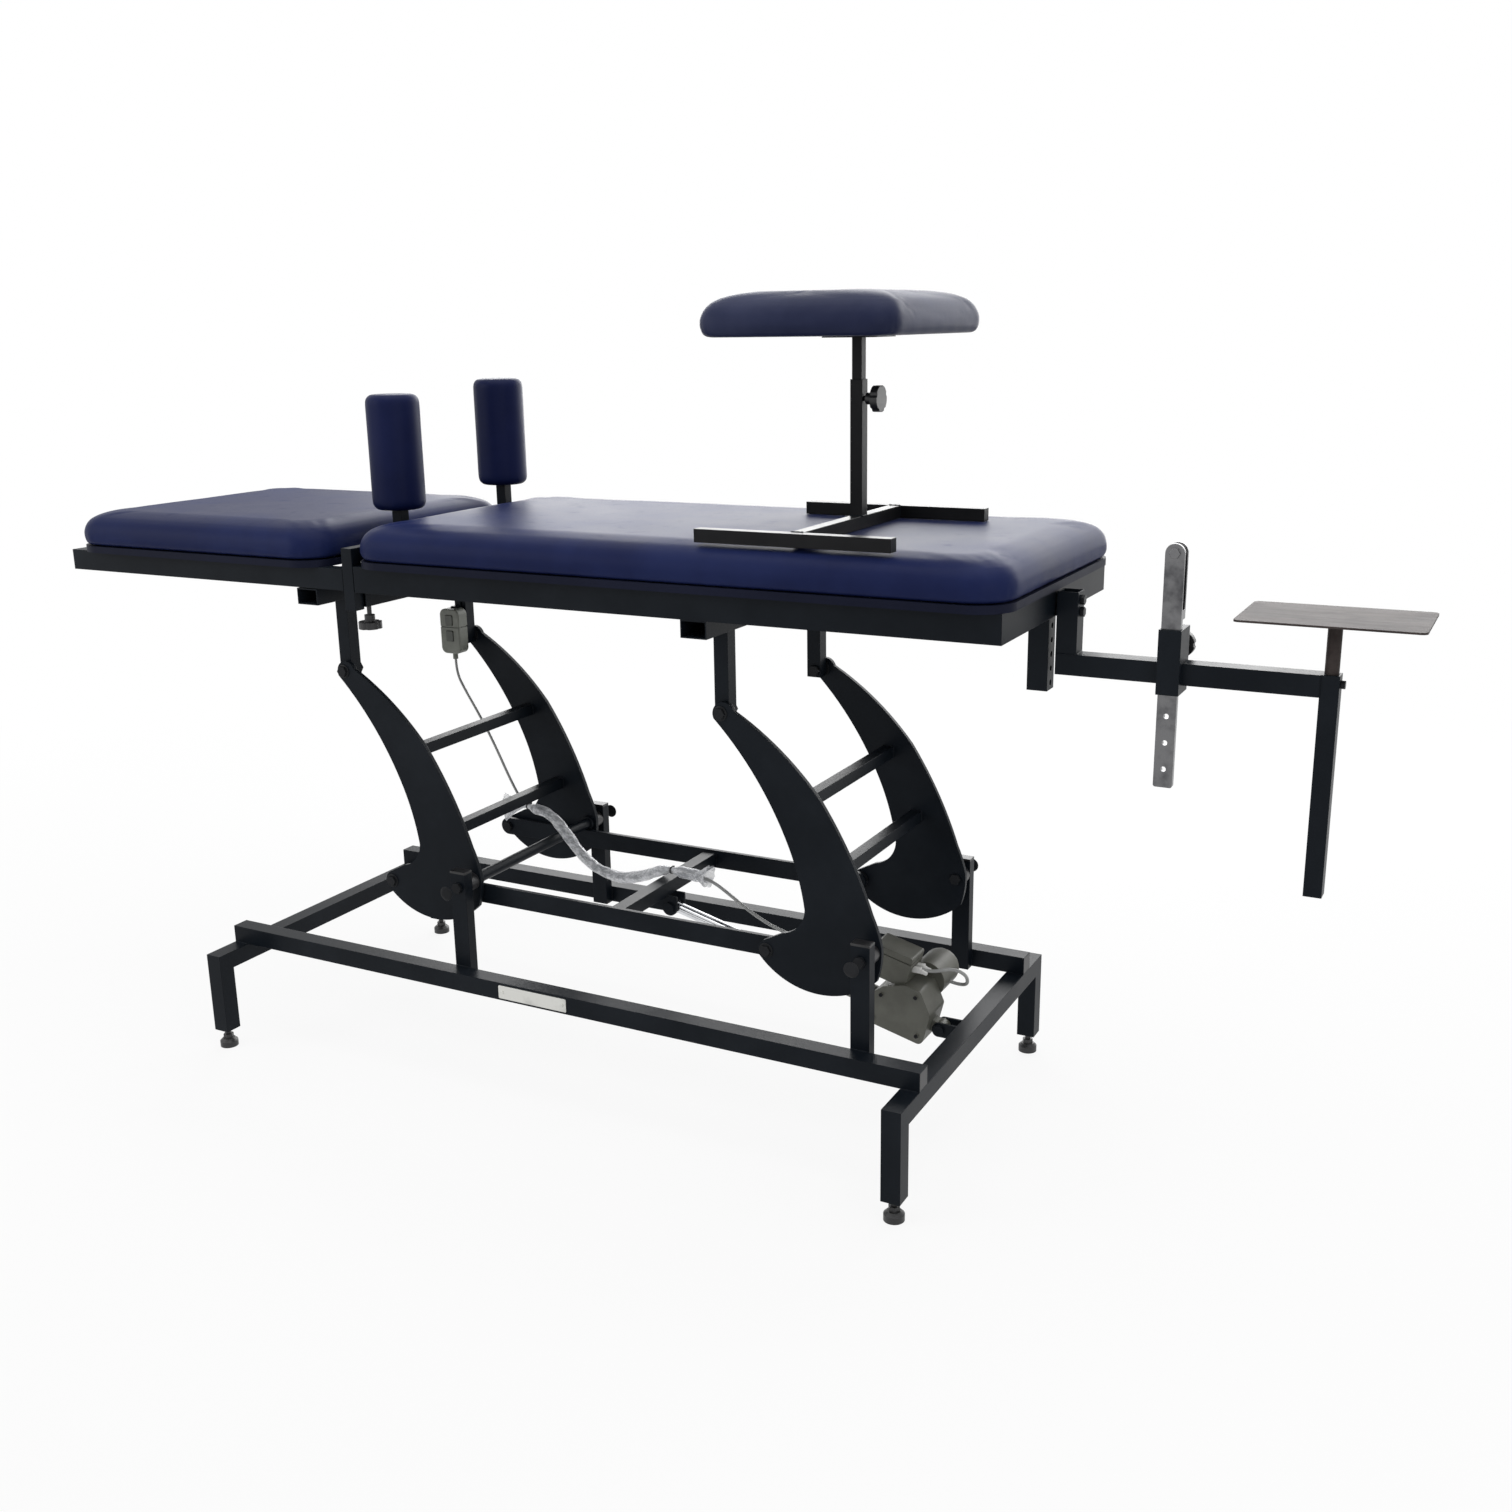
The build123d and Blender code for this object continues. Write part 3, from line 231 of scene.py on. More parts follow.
def vinylCloth(name, deep, light, rough):
    paint = newPaint(name, {"Specular IOR Level": vinyl["gloss"]})
    tone = paint.cloud(*vinyl["tone"])
    rubbed = paint.step(paint.cloud(*vinyl["rubbed"]), *vinyl["rubbedEdge"])
    pebble = paint.cells(vinyl["pebbles"])
    crease = paint.cells(vinyl["pebbles"] * vinyl["creases"], "DISTANCE_TO_EDGE")
    crease = paint.step(crease, *vinyl["creaseEdge"])
    paint.feed({
        "Base Color": paint.blendColour(paint.step(tone, *vinyl["toneEdge"]), deep, light),
        "Roughness": rough + tone * vinyl["toneRough"] + rubbed * vinyl["rubbedRough"],
    })
    paint.relief(pebble * vinyl["pebbleHigh"] + crease * vinyl["creaseHigh"], *vinyl["relief"])
    return paint.owner


# Bare and plated metals: streaks along the way they were drawn, and stains
metal = {"streak": (3, 0.6), "streakRough": 0.16, "stain": (16, 4, 0.65), "stainEdge": (0.42, 0.72),
         "dullEdge": (0.5, 0.8), "dullRough": 0.12, "relief": (0.10, 0.0002)}


def brightMetal(name, light, dark, rough, stretch=(1, 1, 1), scale=140.0, corner=0.0012):
    paint = newPaint(name, {"Metallic": 1.0})
    streak = paint.cloud(scale, *metal["streak"], paint.stretched(stretch))
    stain = paint.cloud(*metal["stain"])
    dull = paint.step(stain, *metal["dullEdge"])
    shade = paint.step(stain, *metal["stainEdge"])
    paint.feed({"Base Color": paint.blendColour(shade, light, dark),
                "Roughness": rough + streak * metal["streakRough"] + dull * metal["dullRough"]})
    paint.relief(streak, *metal["relief"], corner)
    return paint.owner


# The shelf's bare rolled plate: dark scale in blotches, a little rust, rub marks along X
mill = {"steel": (0.062, 0.050, 0.047), "scale": (0.030, 0.023, 0.022),
        "rust": (0.065, 0.032, 0.020), "gloss": 0.12, "metallic": 0.10, "rough": 0.46,
        "blotch": (11, 5, 0.65), "blotchEdge": (0.35, 0.66), "rub": (90, 3, 0.6),
        "rubStretch": (0.12, 1.0, 1.0), "rubRough": 0.16, "spots": (120, 4, 0.7),
        "spotEdge": (0.62, 0.74), "spotPatch": (0.45, 0.65), "spotShare": 0.7, "spotRough": 0.2,
        "spotHigh": 0.4, "relief": (0.12, 0.0003, 0.0008)}


def millPlate():
    paint = newPaint("millPlate", {"Specular IOR Level": mill["gloss"]})
    blotch = paint.cloud(*mill["blotch"])
    rub = paint.cloud(*mill["rub"], paint.stretched(mill["rubStretch"]))
    spots = paint.step(paint.cloud(*mill["spots"]), *mill["spotEdge"])
    spots = spots * paint.step(blotch, *mill["spotPatch"])
    steel = paint.blendColour(paint.step(blotch, *mill["blotchEdge"]), mill["steel"], mill["scale"])
    paint.feed({"Base Color": paint.blendColour(spots * mill["spotShare"], steel, mill["rust"]),
                "Metallic": mill["metallic"] - spots * mill["metallic"],
                "Roughness": mill["rough"] + rub * mill["rubRough"] + spots * mill["spotRough"]})
    paint.relief(rub + spots * mill["spotHigh"], *mill["relief"])
    return paint.owner


# Mouldings and cable jackets
moulding = {"tone": (18, 4, 0.6), "toneEdge": (0.35, 0.70), "toneRough": 0.14,
            "grain": (2, 0.5), "relief": (0.20, 0.00015, 0.001)}


def moulded(name, low, high, rough, grain=900.0):
    paint = newPaint(name, {})
    tone = paint.cloud(*moulding["tone"])
    shade = paint.step(tone, *moulding["toneEdge"])
    paint.feed({"Base Color": paint.blendColour(shade, low, high),
                "Roughness": rough + tone * moulding["toneRough"]})
    paint.relief(paint.cloud(grain, *moulding["grain"]), *moulding["relief"])
    return paint.owner


# The loom sleeve's soft film: whiter and less clear where it is bunched
film = {"clear": (0.62, 0.64, 0.68), "folded": (0.90, 0.91, 0.94), "thin": 0.50, "thick": 0.96,
        "shader": {"IOR": 1.45, "Coat Weight": 0.25, "Coat Roughness": 0.2},
        "rough": 0.22, "bunchRough": 0.25, "fold": (150, 5, 0.7), "foldStretch": (0.35, 1.0, 0.6),
        "bunchEdge": (0.36, 0.66), "relief": (0.75, 0.0016)}


def milkyFilm():
    paint = newPaint("milkyFilm", film["shader"])
    fold = paint.cloud(*film["fold"], paint.stretched(film["foldStretch"]))
    bunch = paint.step(fold, *film["bunchEdge"])
    paint.feed({"Base Color": paint.blendColour(bunch, film["clear"], film["folded"]),
                "Roughness": film["rough"] + bunch * film["bunchRough"],
                "Alpha": film["thin"] + bunch * (film["thick"] - film["thin"])})
    paint.relief(fold, *film["relief"])
    return paint.owner


# Each finish: its material's name, two colours and roughness; plywood is wrapped in vinyl, painted
# near black as painted shade for the band under the cushions
finishes = {
    "black_steel": powderCoat("powderCoat", coat["deep"], coat["worn"], coat["rough"]),
    "stool_steel": powderCoat("stoolCoat", (0.0095, 0.0098, 0.011), (0.016, 0.0162, 0.0175), 0.26),
    "black_bolt": powderCoat("blackBolt", (0.012, 0.013, 0.015), (0.024, 0.025, 0.028), 0.24),
    "zinc_steel": brightMetal("brightZinc", (0.56, 0.57, 0.59), (0.36, 0.37, 0.39), 0.20),
    "chrome_rod": brightMetal("hardChrome", (0.72, 0.73, 0.75), (0.58, 0.59, 0.61), 0.07,
                              (1, 1, 0.2), 90.0, 0.0),
    "pulley_steel": brightMetal("drawnBar", (0.17, 0.17, 0.175), (0.055, 0.055, 0.060), 0.20,
                                (1.4, 1.4, 0.10), 260.0),
    "mill_plate": millPlate(),
    "silver_plate": brightMetal("brushedPlate", (0.66, 0.66, 0.63), (0.52, 0.52, 0.50), 0.34,
                                (0.15, 1, 3.0), 420.0, 0.0006),
    "blue_vinyl": vinylCloth("navyVinyl", vinyl["deep"], vinyl["light"], vinyl["rough"]),
    "pad_vinyl": vinylCloth("padVinyl", (0.0155, 0.0200, 0.0520), (0.0290, 0.0350, 0.0760), 0.36),
    "roll_vinyl": vinylCloth("rollVinyl", (0.0050, 0.0085, 0.0400), (0.0085, 0.0130, 0.0560), 0.36),
    # painted shade: the boards' vinyl is near black, darker than the cushions', to give the shaded
    # band under the cushions' edges
    "plywood": vinylCloth("boardShadeWrap", (0.0055, 0.0070, 0.0180), (0.0090, 0.0110, 0.0260), 0.42),
    "grey_plastic": moulded("greyHousing", (0.085, 0.086, 0.070), (0.118, 0.119, 0.100), 0.40),
    "handset_grey": moulded("handsetShell", (0.150, 0.158, 0.136), (0.205, 0.214, 0.186), 0.42),
    "button_grey": moulded("softButton", (0.080, 0.085, 0.075), (0.115, 0.120, 0.105), 0.50),
    "black_plastic": moulded("blackMoulding", (0.010, 0.010, 0.011), (0.022, 0.022, 0.024), 0.34),
    "white_nylon": moulded("whiteNylon", (0.70, 0.70, 0.68), (0.80, 0.80, 0.78), 0.38),
    "nylon": moulded("blackNylon", (0.016, 0.016, 0.018), (0.030, 0.030, 0.032), 0.32),
    "grey_cable": moulded("cableJacket", (0.300, 0.305, 0.300), (0.410, 0.415, 0.410), 0.38, 400.0),
    "clear_sleeve": milkyFilm(),
}
print("stage: finishes", len(finishes))

# The solids take the finish of their slot, apart from these
own = {"pulley_bar": "pulley_steel", "pulley_wheel": "black_plastic", "shelf": "mill_plate",
       "actuator_rod": "chrome_rod", "handset": "handset_grey", "handset_up_button": "button_grey",
       "handset_down_button": "button_grey", "stool_base": "stool_steel",
       "stool_post": "stool_steel", "pivot_bolts": "black_bolt", "left_arm_bolts": "black_bolt",
       "right_arm_bolts": "black_bolt", "arm_mount_bolts": "black_bolt",
       "shelf_clamp_screw": "black_bolt"}


def wearFinishes():
    slotOf = {part["node"]: part["material_slot"] for part in frame["record"]["subparts"]}
    for name, piece in frame["nodes"].items():
        finish = finishes[own.get(name, slotOf[name])]
        if not piece.material_slots:
            piece.data.materials.append(finish)
        for slot in piece.material_slots:
            slot.material = finish
    print("stage: solids", len(slotOf))


# Mesh helpers
def addPiece(name, form, finish, body, stands=()):
    data = bpy.data.meshes.new(name)
    form.to_mesh(data)
    form.free()
    data.materials.append(finishes[finish])
    data.shade_smooth()
    piece = bpy.data.objects.new(name, data)
    scene.collection.objects.link(piece)
    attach(piece, body)
    if stands:
        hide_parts(*stands)
    return piece


def ringOf(form, points):
    return [form.verts.new(p) for p in points]


def skin(form, rings, capped=True):
    for near, far in zip(rings, rings[1:]):
        for n in range(len(near)):
            m = (n + 1) % len(near)
            form.faces.new((near[n], near[m], far[m], far[n]))
    if capped:
        form.faces.new(rings[0][::-1])
        form.faces.new(rings[-1])


def sweep(form, points, radiusAt, sides, capped=True):
    # a skin round a line of points; radiusAt takes the share of the line and the angle
    normal = (points[1] - points[0]).orthogonal().normalized()
    rings = []
    for n, point in enumerate(points):
        ahead = (points[min(n + 1, len(points) - 1)] - points[max(n - 1, 0)]).normalized()
        normal = (normal - ahead * normal.dot(ahead)).normalized()
        side = ahead.cross(normal)
        share = n / (len(points) - 1)
        ring = []
        for k in range(sides):
            turn = 2 * pi * k / sides
            reach = radiusAt(share, turn)
            ring.append(point + (normal * cos(turn) + side * sin(turn)) * reach)
        rings.append(ringOf(form, ring))
    skin(form, rings, capped)


def turned(form, outline, place, axis, sides=32):
    # a lathe form: the outline's pairs are (radius, height) along axis from place
    axis = Vector(axis).normalized()
    across = axis.orthogonal().normalized()
    other = axis.cross(across)
    turns = [2 * pi * k / sides for k in range(sides)]
    rings = []
    for radius, high in outline:
        rings.append(ringOf(form, [
            place + axis * high + (across * cos(turn) + other * sin(turn)) * radius
            for turn in turns]))
    skin(form, rings)


def brick(form, low, high, edge=0.0008):
    # a block with rounded edges between two corners
    part = bmesh.ops.create_cube(form, size=1.0)["verts"]
    for vert in part:
        vert.co = Vector([(a + b) / 2 + c * (b - a) for a, b, c in zip(low, high, vert.co)])
    edges = {e for v in part for e in v.link_edges}
    bmesh.ops.bevel(form, geom=list(edges), offset=edge, segments=2, affect="EDGES", profile=0.6)


# Cords: the drawing's routes in mm, as control points of smooth splines
cords = {
    "handset_cord": {"radius": 0.0025, "points": [
        (256, 134.2, 683), (256, 134.2, 655), (276, 130.2, 625), (306, 123.2, 590),
        (336, 116.2, 552), (364, 109.2, 512), (388, 103.2, 474), (410, 98.2, 442),
        (426.5, 96, 420.76)]},
    "cable_sleeve": {"radius": 0.010, "points": [
        (429.5, 96, 417.76), (463.5, 86, 413.76), (502.5, 77, 413.76), (546, 66, 384),
        (584, 56, 350), (632, 45, 328), (688, 34, 324), (742, 22, 340), (790, 12, 365.5),
        (832, 7, 368.5), (872, 4, 365.5)]},
    "lead": {"radius": 0.003, "points": [
        (872.4, 3.97, 365.47), (896.26, 2.18, 363.68), (934.3, 0, 343.47), (968.1, 0, 321.47),
        (1011.9, 0, 299.47), (1061.8, 0, 285.47), (1113.8, 0, 280.47), (1156.6, 0, 285.47),
        (1191.1, 0, 288.69), (1214.34, 0, 282.69)]},
    "loop": {"radius": 0.003, "points": [
        (1286.53, 0, 270.24), (1309.76, 0, 264.24), (1344.5, 24, 270.24), (1362.5, 46, 250.24),
        (1355.5, 60, 223.24), (1326.53, 58, 229.44)]},
}


def routeOf(name):
    return [drawn(*p) for p in cords[name]["points"]]


def splineOf(name, points, bevel=0.0):
    data = bpy.data.curves.new(name, "CURVE")
    data.dimensions = "3D"
    line = data.splines.new("NURBS")
    line.points.add(len(points) - 1)
    for spot, point in zip(line.points, points):
        spot.co = (*point, 1)
    line.order_u = 3                            # after the points, or it stays straight
    line.use_endpoint_u = True
    line.resolution_u = 16
    data.bevel_depth = bevel
    data.bevel_resolution = 6
    data.use_fill_caps = True
    piece = bpy.data.objects.new(name, data)
    scene.collection.objects.link(piece)
    return piece


def lineOf(points):
    # the points of a route's own spline, read from the curve with no bevel
    piece = splineOf("line", points)
    bpy.context.view_layer.update()
    mesh = bpy.data.meshes.new_from_object(piece.evaluated_get(
        bpy.context.evaluated_depsgraph_get()))
    found = [v.co.copy() for v in mesh.vertices]
    bpy.data.meshes.remove(mesh)
    bpy.data.objects.remove(piece)
    return found


def lengthOf(points):
    return sum((b - a).length for a, b in zip(points, points[1:]))


def even(points, gap):
    # the same line with points about gap apart
    total = lengthOf(points)
    count = max(2, round(total / gap))
    out, walked, n = [points[0]], 0.0, 0
    for k in range(1, count):
        goal = total * k / count
        while walked + (points[n + 1] - points[n]).length < goal:
            walked += (points[n + 1] - points[n]).length
            n += 1
        run = (points[n + 1] - points[n]).length
        out.append(points[n].lerp(points[n + 1], (goal - walked) / run))
    return out + [points[-1]]


def addCord(name, route, body, stands):
    points, radius = routeOf(route), cords[route]["radius"]
    piece = splineOf(name, points, radius)
    piece.data.materials.append(finishes["grey_cable"])
    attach(piece, body)
    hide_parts(stands)
    round(lengthOf(lineOf(points)), 3)


# The loom sleeve: a loose film tube, tied at both ends, with its wires as one core
sleeve = {"sides": 22, "gap": 0.005, "reach": 0.0098, "neck": 0.0052, "core": 0.0036,
          "puff": 0.0022, "puffs": 9, "crinkle": 0.0011, "crinkles": 34, "crinkleTurns": 2.2,
          "tieShares": (0.035, 0.875), "tieSpread": 0.045}
cableTie = {"gap": 0.0006, "outline": ((0, -0.0016), (0.0009, -0.0012), (0.0009, 0.0012),
                                       (0, 0.0016)),
            "knobOut": 0.001, "knobLow": (0.002, 0.002, 0.0018), "knobHigh": (0.002, 0.002, 0.0022)}
# Past each tie the film flares: from a point of the line, along a direction, at a share of size
flare = {"length": 0.040, "reach": 0.026, "steps": 9, "sides": 30, "bell": 1.2, "flat": 0.42,
         "ruffle": 0.16, "ruffles": 6, "lean": 3, "frill": 0.08, "frills": 11,
         "ends": ((1, (-0.86, -0.42, -0.12), 1.0), (-3, (0.90, -0.10, 0.10), 0.8))}


def filmReach(share, turn):
    # narrow at the ties, puffed and wrinkled between them
    puff = noise.noise(Vector((share * sleeve["puffs"], cos(turn), sin(turn))))
    crinkle = noise.noise(Vector((share * sleeve["crinkles"], sleeve["crinkleTurns"] * cos(turn),
                                  sleeve["crinkleTurns"] * sin(turn))))
    reach = sleeve["reach"] + sleeve["puff"] * puff + sleeve["crinkle"] * crinkle
    for tie in sleeve["tieShares"]:
        near = max(0.0, 1 - abs(share - tie) / sleeve["tieSpread"])
        reach -= (reach - sleeve["neck"]) * near * near * (3 - 2 * near)
    return reach


def addTies(line):
    form = bmesh.new()
    for tie in sleeve["tieShares"]:
        n = round(tie * (len(line) - 1))
        ahead = (line[n + 1] - line[n - 1]).normalized()
        reach = sleeve["neck"] + cableTie["gap"]
        turned(form, [(reach + out, high) for out, high in cableTie["outline"]], line[n], ahead)
        knob = line[n] + ahead.orthogonal().normalized() * (reach + cableTie["knobOut"])
        brick(form, knob - Vector(cableTie["knobLow"]), knob + Vector(cableTie["knobHigh"]))
    return addPiece("loomTies", form, "black_plastic", "tie_frame")


def addFlares(line):
    form = bmesh.new()
    for start, ahead, wide in flare["ends"]:
        ahead = Vector(ahead).normalized()
        points = [line[start] + ahead * flare["length"] * wide * k / flare["steps"]
                  for k in range(flare["steps"] + 1)]

        def skirt(share, turn, wide=wide):
            ruffle = (1 + flare["ruffle"] * sin(flare["ruffles"] * turn + flare["lean"] * share)
                      + flare["frill"] * sin(flare["frills"] * turn))
            flat = flare["flat"] + (1 - flare["flat"]) * abs(cos(turn))
            bell = (flare["reach"] * wide - sleeve["neck"]) * share ** flare["bell"]
            return sleeve["neck"] + bell * ruffle * flat

        sweep(form, points, skirt, flare["sides"], False)
    return addPiece("sleeveFlares", form, "clear_sleeve", "tie_frame")


def addSleeve():
    line = even(lineOf(routeOf("cable_sleeve")), sleeve["gap"])
    form = bmesh.new()
    sweep(form, line, filmReach, sleeve["sides"], False)
    tube = addPiece("loomSleeve", form, "clear_sleeve", "tie_frame",
                    ["cable_sleeve"])
    core = splineOf("loomCore", routeOf("cable_sleeve"), sleeve["core"])
    core.data.materials.append(finishes["grey_cable"])
    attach(core, "tie_frame")
    ties, flares = addTies(line), addFlares(line)
    round(lengthOf(line), 3)


def addCords():
    addCord("handsetCord", "handset_cord", "couch_top", "handset_cord")
    addSleeve()
    addCord("controlLead", "lead", "actuator", "actuator_leads")
    addCord("motorLead", "loop", "actuator", "actuator_leads")
    print("stage: cords", len(cords))


# Upholstery: stacked sections, remeshed, swollen as cloth, capped and tailored
padding = {"shrink": 0.0006, "lift": 0.0002, "fill": 0.9, "ease": 0.5, "easeTimes": 4,
           "cornerSteps": 12, "rollSides": 48}
cushions = {
    "main_cushion": {"corner": 0.060, "crown": 0.078, "voxel": 0.0070, "cap": 0.0016,
                     "body": "couch_top", "finish": "blue_vinyl"},
    "head_cushion": {"corner": 0.060, "crown": 0.078, "voxel": 0.0060, "cap": 0.0016,
                     "body": "head_section", "finish": "blue_vinyl"},
    "stool_pad": {"corner": 0.045, "crown": 0.092, "voxel": 0.0050, "cap": 0.0016,
                  "body": "stool_post", "finish": "pad_vinyl"},
}
rollCover = {"soft": 0.013, "voxel": 0.0045, "cap": 0.0012, "finish": "roll_vinyl"}
rolls = {"near_armpit_roll": {**rollCover, "body": "near_armpit_post"},
         "far_armpit_roll": {**rollCover, "body": "far_armpit_post"}}
# A cushion's side: shares of its height, and how far it draws in there, in shares of its crown
cushionSide = (
    (0.0, 0.085), (0.03, 0.055), (0.10, 0.028), (0.19, 0.008), (0.28, 0.0), (0.38, 0.004),
    (0.48, 0.020), (0.57, 0.044), (0.66, 0.080), (0.73, 0.122), (0.80, 0.180), (0.855, 0.245),
    (0.90, 0.330), (0.935, 0.430), (0.962, 0.560), (0.982, 0.720), (1.0, 1.0))


def roundedSection(halfX, halfY, corner, middle, high):
    points, steps = [], padding["cornerSteps"]
    for sx, sy, start in ((1, 1, 0), (-1, 1, 90), (-1, -1, 180), (1, -1, 270)):
        for k in range(steps + 1):
            turn = radians(start + 90 * k / steps)
            points.append(Vector((middle.x + sx * (halfX - corner) + corner * cos(turn),
                                  middle.y + sy * (halfY - corner) + corner * sin(turn), high)))
    return points


def cushionForm(name, settings):
    low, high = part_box(name)
    shrink = padding["shrink"]
    low = low + Vector((shrink, shrink, padding["lift"]))
    high = high - Vector((shrink, shrink, shrink))
    middle = (low + high) / 2
    form = bmesh.new()
    rings = []
    for rise, inset in cushionSide:
        draw = inset * settings["crown"]
        rings.append(ringOf(form, roundedSection(
            (high.x - low.x) / 2 - draw, (high.y - low.y) / 2 - draw,
            settings["corner"] * (1 - inset / 2), middle, low.z + rise * (high.z - low.z))))
    skin(form, rings)
    return form


def rollForm(name, settings):
    low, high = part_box(name)
    shrink, soft = padding["shrink"], settings["soft"]
    reach = (high.x - low.x) / 2 - shrink
    tall = high.z - low.z - 2 * shrink
    base = Vector(((low.x + high.x) / 2, (low.y + high.y) / 2, low.z + shrink))
    quarter = [(sin(radians(a)), 1 - cos(radians(a))) for a in range(0, 91, 15)]
    lower = [(reach - soft + soft * s, soft * c) for s, c in quarter]
    upper = [(r, tall - h) for r, h in reversed(lower)]
    form = bmesh.new()
    turned(form, lower + upper, base, (0, 0, 1), padding["rollSides"])
    return form


def bake(piece):
    # the piece's mesh as its modifiers show it
    bpy.context.view_layer.update()
    made = bpy.data.meshes.new_from_object(piece.evaluated_get(
        bpy.context.evaluated_depsgraph_get()))
    old = piece.data
    piece.modifiers.clear()
    piece.data = made
    bpy.data.meshes.remove(old)


# One short simulation for all the pads; share is how much of its swelling is kept
cloth = {"pressure": 4.0, "frames": 20, "quality": 5, "tension": 22.0, "bending": 3.0,
         "share": 0.3}


def addCloth(piece, voxel):
    # pressure inside, base held, no gravity
    low = min(v.co.z for v in piece.data.vertices)
    base = piece.vertex_groups.new(name="base")
    base.add([v.index for v in piece.data.vertices if v.co.z < low + voxel], 1.0, "ADD")
    sim = piece.modifiers.new("cloth", "CLOTH")
    sim.settings.use_pressure = True
    sim.settings.uniform_pressure_force = cloth["pressure"]
    sim.settings.effector_weights.gravity = 0.0
    sim.settings.quality = cloth["quality"]
    for name in ("tension_stiffness", "compression_stiffness", "shear_stiffness"):
        setattr(sim.settings, name, cloth["tension"])
    sim.settings.bending_stiffness = cloth["bending"]
    sim.settings.vertex_group_mass = "base"
    sim.point_cache.frame_end = cloth["frames"]


def swell(covers):
    for piece, name, settings in covers:
        addCloth(piece, settings["voxel"])
    for n in range(1, cloth["frames"] + 1):
        scene.frame_set(n)
    for piece, name, settings in covers:
        start = [v.co.copy() for v in piece.data.vertices]
        bake(piece)
        low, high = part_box(name)
        for vert, first in zip(piece.data.vertices, start):
            move = (vert.co - first) * cloth["share"]
            if move.length > settings["cap"]:
                move = move * settings["cap"] / move.length
            vert.co = Vector([min(max(p, a), b) for p, a, b in zip(first + move, low, high)])
    scene.frame_set(1)


# Tailoring, in shares of the height, metres and turns
pulls = {"below": 0.5, "deep": 0.0006, "pitch": 0.052, "pleat": 0.0011, "pleats": 22,
         "pleatRise": 1.5, "pleatFrom": 0.004}
waves = {"above": 0.8, "deep": 0.0008, "scale": 6, "seed": 3.1}
rollSeam = {"turn": 2.2, "wide": 0.07, "deep": 0.0014, "wave": 0.0006, "round": 3, "up": 14}


def tailorCushion(piece, low, high, corner):
    # pulls low down, small pleats round the corners and slow waves on top
    middleX, middleY = (low.x + high.x) / 2, (low.y + high.y) / 2
    halfX, halfY = (high.x - low.x) / 2, (high.y - low.y) / 2
    for vert in piece.data.vertices:
        p = vert.co
        above = (p.z - low.z) / (high.z - low.z)
        if above < pulls["below"]:
            edge = Vector((max(abs(p.x - middleX) - halfX + corner, 0),
                           max(abs(p.y - middleY) - halfY + corner, 0), 0))
            out = Vector((p.x - middleX, p.y - middleY, 0)).normalized()
            turn = atan2(edge.y, edge.x) if min(edge.x, edge.y) > pulls["pleatFrom"] else 0
            fade = 1 - above / pulls["below"]
            fold = max(0, sin(turn * pulls["pleats"]))
            pleat = pulls["pleat"] * fold * fade ** pulls["pleatRise"]
            ripple = (1 + sin((p.x + p.y) * 2 * pi / pulls["pitch"])) / 2
            vert.co = p - out * (pleat + pulls["deep"] * fade ** 2 * ripple)
        elif above > waves["above"]:
            wave = noise.noise(Vector((p.x * waves["scale"], p.y * waves["scale"], waves["seed"])))
            vert.co.z -= waves["deep"] * (0.5 + 0.5 * wave)


def tailorRoll(piece, low, high):
    # a closing seam at the back, and slow waves all round
    for vert in piece.data.vertices:
        p = vert.co
        turn = atan2(p.y - (low.y + high.y) / 2, p.x - (low.x + high.x) / 2)
        out = Vector((cos(turn), sin(turn), 0))
        seam = max(0.0, 1 - abs(turn - rollSeam["turn"]) / rollSeam["wide"])
        wave = noise.noise(Vector((rollSeam["round"] * cos(turn), rollSeam["round"] * sin(turn),
                                   p.z * rollSeam["up"])))
        vert.co = p - out * (rollSeam["deep"] * seam * seam + rollSeam["wave"] * (0.5 + 0.5 * wave))


def addUpholstery():
    covers = []
    for name, settings in {**cushions, **rolls}.items():
        form = rollForm(name, settings) if name in rolls else cushionForm(name, settings)
        piece = addPiece(name + "_cover", form, settings["finish"], settings["body"],
                         [name])
        grid = piece.modifiers.new("grid", "REMESH")
        grid.mode = "VOXEL"
        grid.voxel_size = settings["voxel"]
        ease = piece.modifiers.new("ease", "SMOOTH")
        ease.factor, ease.iterations = padding["ease"], padding["easeTimes"]
        bake(piece)
        covers.append((piece, name, settings))
    swell(covers)
    for piece, name, settings in covers:
        if name in rolls:
            tailorRoll(piece, *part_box(name))
        else:
            tailorCushion(piece, *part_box(name), settings["corner"])
        fine = piece.modifiers.new("fine", "SUBSURF")
        fine.levels = fine.render_levels = 1
        bake(piece)
        piece.data.shade_smooth()
    print("stage: upholstery", [len(piece.data.polygons) for piece, name, settings in covers])


# Welds: lumpy beads where the tubes of one body meet
weld = {"reach": 0.0013, "gap": 0.0022, "sides": 7, "low": 0.78, "scallop": 0.34,
        "scallopRate": 0.9, "lump": 0.20, "seed": 37}
